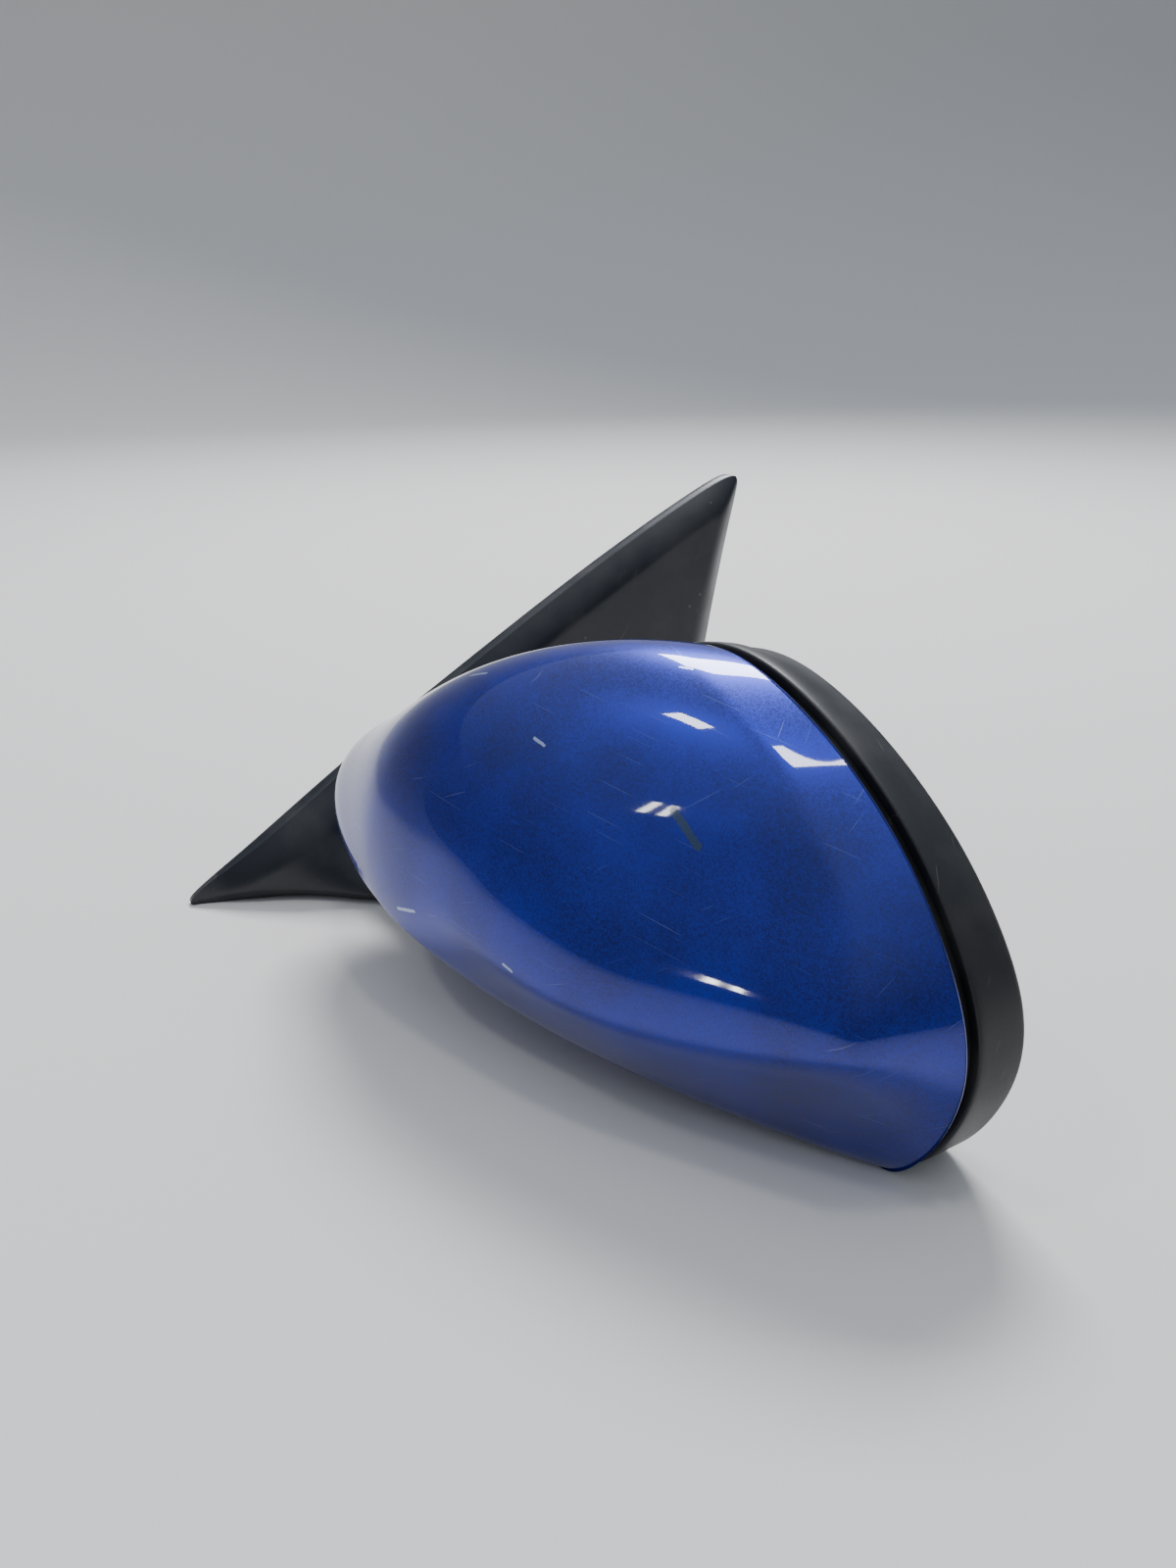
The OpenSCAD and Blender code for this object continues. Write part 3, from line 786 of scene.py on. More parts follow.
@dataclass(frozen=True)
class MetallicPaint:
    """Two-stage metallic lacquer: aluminium flake in blue under a polished clear coat.

    The flake sparkles, the clear coat gives sharp highlights, and hairlines cross it.
    One dull scuff and a few pale nicks lie where handling left them.
    """

    body: str = "#0727b0"
    deep: str = "#031060"
    hair: str = "#7d8fc4"
    nick: str = "#b9c6e6"
    rubbed: str = "#3d4f57"
    flake_mm: float = 0.35
    scuff: Scuff = Scuff((-25, -194, 42), (-23, -203, 35), 1.2)
    nicks: tuple[Scuff, ...] = (
        Scuff((-9, -169, 72), (-7, -172, 72), 0.5),
        Scuff((-8, -167, 73), (-6, -171, 73), 0.4),
        Scuff((-44, -150, 51), (-43, -154, 50), 0.5),
        Scuff((-47, -108, 59), (-44, -116, 61), 0.45),
        Scuff((-62, -166, -8), (-61, -169, -9), 0.5),
        Scuff((-77, -120, -8), (-75, -128, -6), 0.6),
        Scuff((-81, -93, -4), (-80, -99, -8), 0.7),
        Scuff((-71, -137, -3), (-70, -139, -4), 0.5),
    )

    def build(self) -> bpy.types.Material:
        """Makes the material."""
        finish = Finish("metallic_blue_lacquer")
        flake = finish.ramp(finish.cells(self.flake_mm, "Color"), 0.1, 0.9)
        cloud = finish.ramp(finish.noise(26.0, 2.0), 0.35, 0.65)
        shade = finish.math("ADD", finish.times(flake, 0.55), finish.times(cloud, 0.3))
        base = finish.blend(shade, linear(self.deep), linear(self.body))
        lines = finish.math(
            "MAXIMUM",
            finish.hairlines(16.0, 0.09, 38.0, 0.06),
            finish.hairlines(24.0, 0.08, -24.0, 0.05),
        )
        worn = finish.blend(finish.times(lines, 0.22), base, linear(self.hair))
        nicks = None
        for scuff in self.nicks:
            mark = finish.mark(scuff.start, scuff.end, scuff.radius)
            nicks = mark if nicks is None else finish.math("MAXIMUM", nicks, mark)
        worn = finish.blend(finish.times(nicks, 0.75), worn, linear(self.nick))
        rub = finish.mark(self.scuff.start, self.scuff.end, self.scuff.radius)
        finish.colour(finish.blend(finish.times(rub, 0.8), worn, linear(self.rubbed)))
        finish.roughness(finish.ramp(flake, 0, 1, 0.30, 0.42))
        bare = finish.math("MAXIMUM", rub, nicks)
        finish.tree.links.new(
            finish.ramp(bare, 0.0, 1.0, 1.0, 0.35), finish.shader.inputs["Coat Weight"]
        )
        finish.set(Metallic=0.82, IOR=1.5, Coat_Roughness=0.035, Coat_IOR=1.52)
        finish.bump(flake, 0.004, strength=0.25)
        return finish.material


@dataclass(frozen=True)
class MouldedPlastic:
    """Injection-moulded plastic with a fine grain, dust in the grain and dull scuffs."""

    name: str
    colour: str
    dust: str = "#6d6a62"
    roughness: float = 0.5
    grain_mm: float = 0.6
    grain_depth: float = 0.02
    dust_amount: float = 0.25
    scuffs: float = 0.3

    def build(self) -> bpy.types.Material:
        """Makes the material."""
        finish = Finish(self.name)
        grain = finish.noise(self.grain_mm, 3.0)
        patch = finish.ramp(finish.noise(22.0, 4.0), 0.42, 0.72)
        specks = finish.specks(2.6, 0.06)
        dusty = finish.math(
            "MAXIMUM", finish.times(patch, self.dust_amount * 0.4), finish.times(specks, 0.5)
        )
        marks = finish.hairlines(9.0, 0.18, 62.0, 0.08)
        cover = finish.math("MAXIMUM", dusty, finish.times(marks, self.scuffs))
        finish.colour(finish.blend(cover, linear(self.colour), linear(self.dust)))
        uneven = finish.math("ADD", grain, patch)
        finish.roughness(
            finish.ramp(uneven, 0.4, 1.6, self.roughness - 0.07, self.roughness + 0.1)
        )
        finish.set(IOR=1.5)
        finish.bump(grain, self.grain_depth)
        return finish.material


@dataclass(frozen=True)
class WorkedMetal:
    """Metal with a cast skin or a drawn, plated surface."""

    name: str
    colour: str
    dark: str
    roughness: float
    grain_mm: float
    grain_depth: float
    stretch: tuple[float, float, float] = (1, 1, 1)

    def build(self) -> bpy.types.Material:
        """Makes the material."""
        finish = Finish(self.name)
        grain = finish.noise(self.grain_mm, 4.0, self.stretch)
        cloud = finish.noise(9.0, 3.0)
        finish.colour(
            finish.blend(finish.ramp(cloud, 0.3, 0.75), linear(self.colour), linear(self.dark))
        )
        finish.roughness(finish.ramp(grain, 0.3, 0.7, self.roughness - 0.08, self.roughness + 0.1))
        finish.set(Metallic=1.0)
        finish.bump(grain, self.grain_depth)
        return finish.material


@dataclass(frozen=True)
class SoftFoam:
    """Closed-cell foam or rubber, matt, with the cells showing."""

    name: str
    colour: str
    light: str
    cell_mm: float

    def build(self) -> bpy.types.Material:
        """Makes the material."""
        finish = Finish(self.name)
        cells = finish.cells(self.cell_mm)
        finish.colour(
            finish.blend(finish.ramp(cells, 0.1, 0.7), linear(self.colour), linear(self.light))
        )
        finish.roughness(finish.ramp(cells, 0, 1, 0.75, 0.95))
        finish.set(IOR=1.45)
        finish.bump(cells, 0.12)
        return finish.material


@dataclass(frozen=True)
class SilveredGlass:
    """Float glass silvered on its back: sharp reflection under a faint blue-green tint."""

    def build(self) -> bpy.types.Material:
        """Makes the material."""
        finish = Finish("silvered_glass")
        film = finish.ramp(finish.noise(30.0, 4.0), 0.4, 0.8)
        finish.colour(finish.blend(film, linear("#d3dde2"), linear("#c3ced4")))
        finish.roughness(finish.ramp(film, 0, 1, 0.02, 0.07))
        finish.set(Metallic=1.0, Coat_Weight=1.0, Coat_Roughness=0.02)
        return finish.material


@dataclass(frozen=True)
class PrintedFilm:
    """Heater film: amber polyester with a printed carbon track."""

    def build(self) -> bpy.types.Material:
        """Makes the material."""
        finish = Finish("heater_film")
        wave = add_node(
            finish.tree,
            "ShaderNodeTexWave",
            {"Scale": 0.16, "Distortion": 1.5, "Detail": 1.0},
            {"Vector": finish.place},
            bands_direction="Z",
        ).outputs["Fac"]
        track = finish.ramp(wave, 0.45, 0.55)
        finish.colour(finish.blend(track, linear("#9a5a22"), linear("#2a2624")))
        finish.roughness(finish.ramp(track, 0, 1, 0.35, 0.6))
        finish.bump(track, 0.03)
        return finish.material


class Palette:
    """Every finish of the mirror, by the record's slot name."""

    def __init__(self) -> None:
        """Builds each material once."""
        self.materials = {
            "trim_black": MouldedPlastic(
                "satin_foot_plastic", "#10141c", roughness=0.38, grain_mm=0.5,
                grain_depth=0.008, dust_amount=0.35, scuffs=0.2,
            ),
            "bezel_black": MouldedPlastic(
                "grained_bezel_plastic", "#101113", roughness=0.52, grain_mm=0.7,
                grain_depth=0.03, scuffs=0.35,
            ),
            "body_paint": MetallicPaint(),
            "frame_grey": MouldedPlastic(
                "glass_filled_nylon", "#161718", roughness=0.6, grain_mm=0.9
            ),
            "case_grey": MouldedPlastic("moulded_case_plastic", "#1b1c1e", roughness=0.5),
            "natural_acetal": MouldedPlastic(
                "natural_acetal", "#cfccc0", dust="#8d8878", roughness=0.35, grain_mm=0.8,
                grain_depth=0.006, dust_amount=0.15, scuffs=0.1,
            ),
            "bracket_alloy": WorkedMetal(
                "die_cast_aluminium", "#a9abae", "#7d8084", 0.48, 0.8, 0.06
            ),
            "spring_steel": WorkedMetal(
                "oiled_spring_steel", "#6c6e72", "#43454a", 0.32, 0.5, 0.01, (1, 1, 5)
            ),
            "zinc_steel": WorkedMetal(
                "zinc_plated_steel", "#b9bcbd", "#8f9496", 0.3, 0.6, 0.008
            ),
            "foam": SoftFoam("closed_cell_foam", "#0b0b0c", "#1d1d1e", 0.9),
            "socket_black": MouldedPlastic("socket_plastic", "#121314", roughness=0.42),
            "contact_brass": WorkedMetal(
                "tinned_brass", "#c79c4f", "#a67f3a", 0.28, 0.4, 0.005
            ),
            "lead_black": SoftFoam("cable_sheath", "#0d0d0e", "#161617", 0.5),
            "heater_foil": PrintedFilm(),
            "mirror_face": SilveredGlass(),
        }
        self.built = {slot: finish.build() for slot, finish in self.materials.items()}

    def dress(self, piece: bpy.types.Object, slot: str) -> None:
        """Gives a piece one slot's material."""
        piece.data.materials.clear()
        piece.data.materials.append(self.built[slot])

    def dress_nodes(self) -> None:
        """Gives every CAD node the material of its slot in the record."""
        for part in frame["record"]["subparts"]:
            self.dress(frame["nodes"][part["node"]], part["material_slot"])


class Assembly:
    """Base of the sub-assemblies: it finishes pieces and reports them."""

    def __init__(self, palette: Palette) -> None:
        """Keeps the shared finishes."""
        self.palette = palette

    def finish(self, piece: bpy.types.Object, body: Body, slot: str, *nodes: str) -> None:
        """Dresses a piece, fixes it to its body and hides the CAD nodes it stands for.

        Args:
            piece: The finished mesh object.
            body: The body it rides on.
            slot: The record's material slot.
            *nodes: CAD nodes that it replaces.
        """
        self.palette.dress(piece, slot)
        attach(piece, body.value)
        if nodes:
            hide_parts(*nodes)
        LOG.info("%s: %d faces, rides on %s", piece.name, len(piece.data.polygons), body.value)


# ---------------------------------------------------------------- head


@dataclass
class PaintedCap(Assembly):
    """The domed painted cap.

    Attributes:
        wall: Thickness of the shell, in mm.
        edge: Radius of its rear edge, in mm.
        rings: Rings from the rim to the crown.
    """

    palette: Palette
    wall: float = 2.4
    edge: float = 0.9
    rings: int = 96

    def surface(self, inset: float, count: int) -> list[np.ndarray]:
        """Rings of the dome from just off the rim to the crown.

        Args:
            inset: How far inside the outer surface, in mm.
            count: How many rings.

        Returns:
            Rings in the row frame, in mm.
        """
        base = FORM.outline(inset)
        rings = []
        for step in range(1, count + 1):
            share = math.cos(math.pi / 2 * (step / (count + 0.35)) ** 1.15) ** 1.1
            points, rise = FORM.section(base, share)
            proud = FORM.relief(base, points, rise)
            rings.append(AXES.place(points, -(FORM.depth - inset) * rise - proud))
        return rings

    def rim_edge(self) -> list[np.ndarray]:
        """Rings that round the rear edge from the inside to the outside."""
        profile = [(self.wall, -self.edge), (self.wall, -0.3), (self.wall - 0.3, 0.0)]
        for step in range(5):
            turn = math.pi / 2 * step / 4
            profile.append(
                (self.edge * (1 - math.sin(turn)), self.edge * (math.cos(turn) - 1))
            )
        return [AXES.place(FORM.outline(inset), x) for inset, x in profile]

    def build(self) -> None:
        """Makes the cap."""
        inner = self.surface(self.wall, self.rings // 2)
        outer = self.surface(0.0, self.rings)
        piece = ring_mesh(
            "painted_cap", inner[::-1] + self.rim_edge() + outer, Ends.CAPPED
        )
        cut(piece, turned("cap_cutter", [(0.001, -60), (20.2, -60), (20.2, -4), (0.001, -4)]))
        self.finish(piece, Body.HEAD, "body_paint", "cap_shell")


@dataclass
class Bezel(Assembly):
    """The plastic rim behind the cap, and the recessed band between them.

    Attributes:
        gap: Width of the shadow gap, in mm.
        band: Width of the bezel, in mm.
        wall: Thickness of its wall, in mm.
        taper: How far its upper side drops towards the rear, in mm.
    """

    palette: Palette
    gap: float = 4.0
    band: float = 17.0
    wall: float = 3.0
    taper: float = 3.5

    def loop(self, inset: float, share: float) -> np.ndarray:
        """Outline of the bezel at a share of its taper."""
        loop = FORM.outline(inset).copy()
        loop[:, 1] -= share * self.taper * smooth_step((loop[:, 1] + 5) / 60)
        return loop

    def profile(self) -> list[tuple[float, float, float]]:
        """Section of the bezel as inset, taper share and depth, from rear edge to lip."""
        rear = self.gap + self.band
        lip = self.wall + 1.2
        nose = [
            (lip / 2 - (lip / 2) * math.cos(math.pi * k / 12) ** 1.0, 1.0,
             rear - 2.4 + 2.4 * math.sin(math.pi * k / 12))
            for k in range(13)
        ][::-1]
        side = [
            (0.0, 0.85, rear - 5), (0.0, 0.55, rear - 9), (0.0, 0.25, self.gap + 6),
            (0.0, 0.08, self.gap + 3), (0.0, 0.0, self.gap + 1.2),
            (0.1, 0.0, self.gap + 0.6), (0.35, 0.0, self.gap + 0.2), (0.8, 0.0, self.gap),
        ]
        inner = [
            (2.9, 0.0, self.gap), (2.9, 0.0, self.gap + 3.1), (lip, 0.0, self.gap + 3.1),
            (lip, 0.25, self.gap + 6), (lip, 0.9, rear - 4),
        ]
        return nose + side + inner

    def build(self) -> None:
        """Makes the bezel and the band in the shadow gap."""
        rings = [AXES.place(self.loop(i, t), x) for i, t, x in self.profile()]
        piece = ring_mesh("bezel_rim", rings, Ends.HOOP)
        sharpen(piece, 50)
        self.finish(piece, Body.HEAD, "bezel_black", "bezel_ring")
        shadow = [
            AXES.place(FORM.outline(inset), x)
            for inset, x in ((2.94, -0.6), (2.94, self.gap + 0.6), (3.1, self.gap + 0.6), (3.1, -0.6))
        ]
        band = ring_mesh("shadow_gap_band", shadow, Ends.HOOP)
        self.finish(band, Body.HEAD, "frame_grey")


@dataclass
class GlassPack(Assembly):
    """The mirror glass in its carrier.

    Attributes:
        inset: Distance from the rim to the edge of the carrier, in mm.
        back: Depth of the carrier's back, in mm.
        glass_back: Depth of the glass's back, in mm.
        thickness: Thickness of the glass, in mm.
    """

    palette: Palette
    inset: float = 10.4
    back: float = 7.0
    glass_back: float = 9.6
    thickness: float = 2.2

    def build(self) -> None:
        """Makes the carrier and the glass."""
        front = self.glass_back + self.thickness
        carrier_profile = (
            (self.inset + 1.2, self.back), (self.inset + 0.5, self.back),
            (self.inset, self.back + 0.5), (self.inset, front - 0.1),
            (self.inset + 0.15, front + 0.2), (self.inset + 0.5, front + 0.3),
            (self.inset + 1.05, front + 0.3), (self.inset + 1.2, front + 0.1),
            (self.inset + 1.2, self.glass_back - 0.4),
        )
        carrier = ring_mesh(
            "glass_backing",
            [AXES.place(FORM.inner_outline(i), x) for i, x in carrier_profile],
            Ends.CAPPED,
        )
        sharpen(carrier, 50)
        self.finish(carrier, Body.GLASS, "case_grey", "glass_carrier")
        edge = self.inset + 1.4
        glass_profile = (
            (edge, self.glass_back), (edge, front - 0.6), (edge + 0.2, front - 0.15),
            (edge + 0.7, front),
        )
        glass = ring_mesh(
            "mirror_pane",
            [AXES.place(FORM.inner_outline(i), x) for i, x in glass_profile],
            Ends.CAPPED,
        )
        sharpen(glass, 12)
        self.finish(glass, Body.GLASS, "mirror_face", "mirror_glass")


# ---------------------------------------------------------------- foot


@dataclass
class SailFoot(Assembly):
    """The triangular sail cover against the door.

    Attributes:
        edge: Control points of its outline, in x and z, in mm.
        face: Control points of the edge of its flat face.
        depth: Depth of the face off the door, in mm.
        wall: Thickness of the cover, in mm.
        flare: How far it flares out towards the arm, in mm.
        middle: Point that the face's rings shrink to.
    """

    palette: Palette
    edge: tuple[tuple[float, float], ...] = (
        (-133, -52), (-105, -35), (-60, -2), (-8, 31), (49, 66.5), (98, 93), (120, 103),
        (115, 88), (103, 28), (94, -36), (90, -52), (60, -50), (0, -50), (-60, -50),
        (-105, -50),
    )
    face: tuple[tuple[float, float], ...] = (
        (-104, -45), (-90, -38), (-52, -12), (-3, 19), (51, 53), (90, 76), (104, 84),
        (102, 74), (90, 26), (81, -34), (78, -46), (56, -45), (0, -45), (-56, -45),
        (-92, -45),
    )
    depth: float = 13.0
    wall: float = 2.2
    flare: float = 26.0
    middle: tuple[float, float] = (20.0, -8.0)

    @property
    def floor(self) -> float:
        """Height of the surface it stands on, in mm."""
        return CAD_BOX[0][2] / MM

    @property
    def pivot(self) -> np.ndarray:
        """The fold axis in x and y, in mm."""
        return np.array(JOINTS["fold"]["pos_m"][:2], float) / MM

    def ring(self, t: float, shrink: float, gap: float) -> np.ndarray:
        """One ring of the surface.

        Args:
            t: 0 at the rim and 1 at the edge of the face.
            shrink: Share of the ring's size about the middle.
            gap: How far inside the outer surface, in mm.

        Returns:
            Points in the row frame, in mm.
        """
        middle = np.array(self.middle)
        edge = spline_loop(self.edge, AROUND)
        inward = middle - edge
        edge = edge + gap * inward / np.linalg.norm(inward, axis=1)[:, None]
        face = spline_loop(self.face, AROUND)
        loop = middle + (edge + (face - edge) * t - middle) * shrink
        x, z = loop[:, 0], np.maximum(loop[:, 1], self.floor + gap)
        rim = 2.6 + 3.6 * smooth_step((x + 126) / 34)
        rise = rim + (self.depth - rim) * math.sin(math.pi / 2 * t) * smooth_step((x + 132) / 50)
        beside = np.maximum(0, np.abs(x - self.pivot[0]) - 22) / 28
        arm = self.flare * np.exp(-(beside**2)) * np.exp(-(((z - self.floor) / 23) ** 2))
        return np.stack([x, -(rise + arm) + gap, z], 1)

    def flat_ring(self, gap: float) -> np.ndarray:
        """The ring that lies on the door."""
        ring = self.ring(0.0, 1.0, gap)
        ring[:, 1] = -0.1
        return ring

    def rings(self, gap: float, steps: int) -> list[np.ndarray]:
        """Rings from the door to the middle of the face."""
        rim = [self.ring(t, 1.0, gap) for t in np.linspace(0, 1, steps) ** 1.3]
        face = [self.ring(1.0, s, gap) for s in np.linspace(1, 0.02, steps)[1:]]
        return [self.flat_ring(gap)] + rim + face

    def build(self) -> None:
        """Makes the sail cover."""
        rings = self.rings(self.wall, 10)[::-1] + self.rings(0.0, 22)
        piece = ring_mesh("sail_cover_skin", rings, Ends.CAPPED)
        sharpen(piece, 60)
        self.finish(piece, Body.FOOT, "trim_black", "sail_cover")


@dataclass
class ArmShroud(Assembly):
    """The arm under the head and the cover of its open underside.

    Attributes:
        radius: Radius round the fold axis, in mm.
        top: Height of its top, in mm.
        half_width: Half its width at the sail, in mm.
        root: Place of its root inside the sail, in y, in mm.
        wall: Thickness of its wall, in mm.
        hole: Radius of the hole for the turret, in mm.
    """

    palette: Palette
    radius: float = 22.0
    top: float = -27.2
    half_width: float = 30.0
    root: float = -14.0
    wall: float = 2.0
    hole: float = 16.3

    def outline(self, inset: float) -> np.ndarray:
        """Outline of the arm from above, moved inwards, evenly spaced."""
        px, py = np.array(JOINTS["fold"]["pos_m"][:2], float) / MM
        radius = self.radius - inset
        side, back = self.half_width - inset, self.root - inset
        gap = back - py
        reach = math.hypot(side, gap)
        lean = math.atan2(gap, side) - math.acos(radius / reach)
        arc = np.linspace(lean, -math.pi - lean, 64)
        corners = [(px - side, back), (px + side, back)]
        path = [(px + radius * math.cos(a), py + radius * math.sin(a)) for a in arc] + corners
        path = np.array(path + path[:1])
        run = np.r_[0, np.cumsum(np.linalg.norm(np.diff(path, axis=0), axis=1))]
        at = np.linspace(0, run[-1], AROUND, endpoint=False)
        return np.stack([np.interp(at, run, path[:, 0]), np.interp(at, run, path[:, 1])], 1)

    def level(self, inset: float, z: float) -> np.ndarray:
        """Ring of the outline at a height."""
        loop = self.outline(inset)
        return np.column_stack([loop, np.full(len(loop), z)])

    def around(self, radius: float, z: float) -> np.ndarray:
        """Ring round the fold axis, in step with the outline."""
        loop = self.outline(0.0)
        pivot = np.array(JOINTS["fold"]["pos_m"][:2], float) / MM
        turn = np.arctan2(loop[:, 1] - pivot[1], loop[:, 0] - pivot[0])
        return np.column_stack(
            [pivot + radius * np.stack([np.cos(turn), np.sin(turn)], 1), np.full(len(loop), z)]
        )

    def build(self) -> None:
        """Makes the arm."""
        low = CAD_BOX[0][2] / MM
        wall, top = self.wall, self.top
        rings = [self.level(wall, low + 0.2), self.level(0.4, low + 0.05), self.level(0.0, low + 0.6)]
        rings += [
            self.level(1.6 * (1 - math.cos(a)), top - 1.6 + 1.6 * math.sin(a))
            for a in np.linspace(0, math.pi / 2, 7)
        ]
        rings += [
            self.around(self.hole + 0.5, top), self.around(self.hole, top - 0.5),
            self.around(self.hole, top - wall), self.level(wall, top - wall),
        ]
        piece = ring_mesh("arm_cover", rings, Ends.HOOP)
        sharpen(piece, 50)
        self.finish(piece, Body.FOOT, "trim_black", "arm_shroud")


@dataclass
class FoldPivot(Assembly):
    """Collar, washer, spring and leads round the fold axis.

    Attributes:
        coil_radius: Radius of the spring's centreline, in mm.
        wire: Radius of its wire, in mm.
        turns: How many turns it has.
        lead: Radius of the leads, in mm.
    """

    palette: Palette
    coil_radius: float = 11.6
    wire: float = 1.25
    turns: float = 4.0
    lead: float = 2.8

    def height(self, node: str, end: int) -> float:
        """Lowest (0) or highest (1) height of a CAD node, in mm."""
        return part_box(node)[end][2] / MM

    def collar(self) -> None:
        """The collar of the head that sits over the arm."""
        low, high = self.height("pivot_collar", 0), self.height("pivot_collar", 1)
        profile = [
            (20.0, low), (20.0, high), (14.1, high), (14.1, low + 15.0),
            (16.4, low + 15.0), (16.4, low),
        ]
        piece = turned("fold_collar", rounded(profile, 0.7), Ends.HOOP)
        self.finish(piece, Body.HEAD, "bezel_black", "pivot_collar")

    def washer(self) -> None:
        """The friction washer, with its edges broken."""
        low, high = self.height("friction_washer", 0), self.height("friction_washer", 1)
        profile = [(15.5, low), (15.5, high), (9.3, high), (9.3, low)]
        piece = turned("friction_disc", rounded(profile, 0.25), Ends.HOOP)
        self.finish(piece, Body.FOOT, "natural_acetal", "friction_washer")

    def spring(self) -> None:
        """The fold spring, with its end turns closed up."""
        low = self.height("fold_spring", 0) + self.wire
        high = self.height("fold_spring", 1) - self.wire
        pivot = np.array(JOINTS["fold"]["pos_m"], float) / MM
        turn = np.linspace(0, self.turns, int(self.turns * 60) + 1)
        climb = np.clip((turn - 0.75) / (self.turns - 1.5), 0, 1)
        path = np.column_stack(
            [
                pivot[0] + self.coil_radius * np.cos(2 * math.pi * turn),
                pivot[1] + self.coil_radius * np.sin(2 * math.pi * turn),
                low + (high - low) * climb,
            ]
        )
        piece = tube("fold_coil", path, self.wire)
        self.finish(piece, Body.FOOT, "spring_steel", "fold_spring")

    def leads(self) -> None:
        """The sheathed leads through the arm and the post, and on to the actuator."""
        pivot = np.array(JOINTS["fold"]["pos_m"], float) / MM
        low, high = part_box("foot_lead")
        duct = low[2] / MM + self.lead
        start, top = high[1] / MM, high[2] / MM
        bend = [
            (pivot[0], pivot[1] + 8 - 8 * math.sin(a), duct + 8 - 8 * math.cos(a))
            for a in np.linspace(0, math.pi / 2, 14)
        ]
        run = [(pivot[0], y, duct) for y in np.linspace(start, pivot[1] + 8, 12)[:-1]]
        rise = [(pivot[0], pivot[1], z) for z in np.linspace(duct + 8, top, 16)[1:]]
        foot = tube("foot_sheath", run + bend + rise, self.lead)
        self.finish(foot, Body.FOOT, "lead_black", "foot_lead")
        knots = np.array(
            [
                (27, 73.2, 28.5), (27, 73.2, 29.5), (27.5, 76, 34), (29, 84, 36),
                (31, 95, 33), (32.5, 106, 25), (33, 112, 17.8), (33, 117.7, 12.6),
            ]
        )
        line = np.concatenate([AXES.place(k[None, 1:], -k[0]) for k in knots])
        at = np.linspace(0, len(line) - 1, 60)
        smooth = np.column_stack(
            [np.interp(at, np.arange(len(line)), line[:, axis]) for axis in range(3)]
        )
        for _ in range(12):
            smooth[1:-1] = (smooth[:-2] + 2 * smooth[1:-1] + smooth[2:]) / 4
        head = tube("head_sheath", smooth, self.lead)
        self.finish(head, Body.HEAD, "lead_black", "head_lead")

    def build(self) -> None:
        """Makes everything round the fold axis."""
        self.collar()
        self.washer()
        self.spring()
        self.leads()


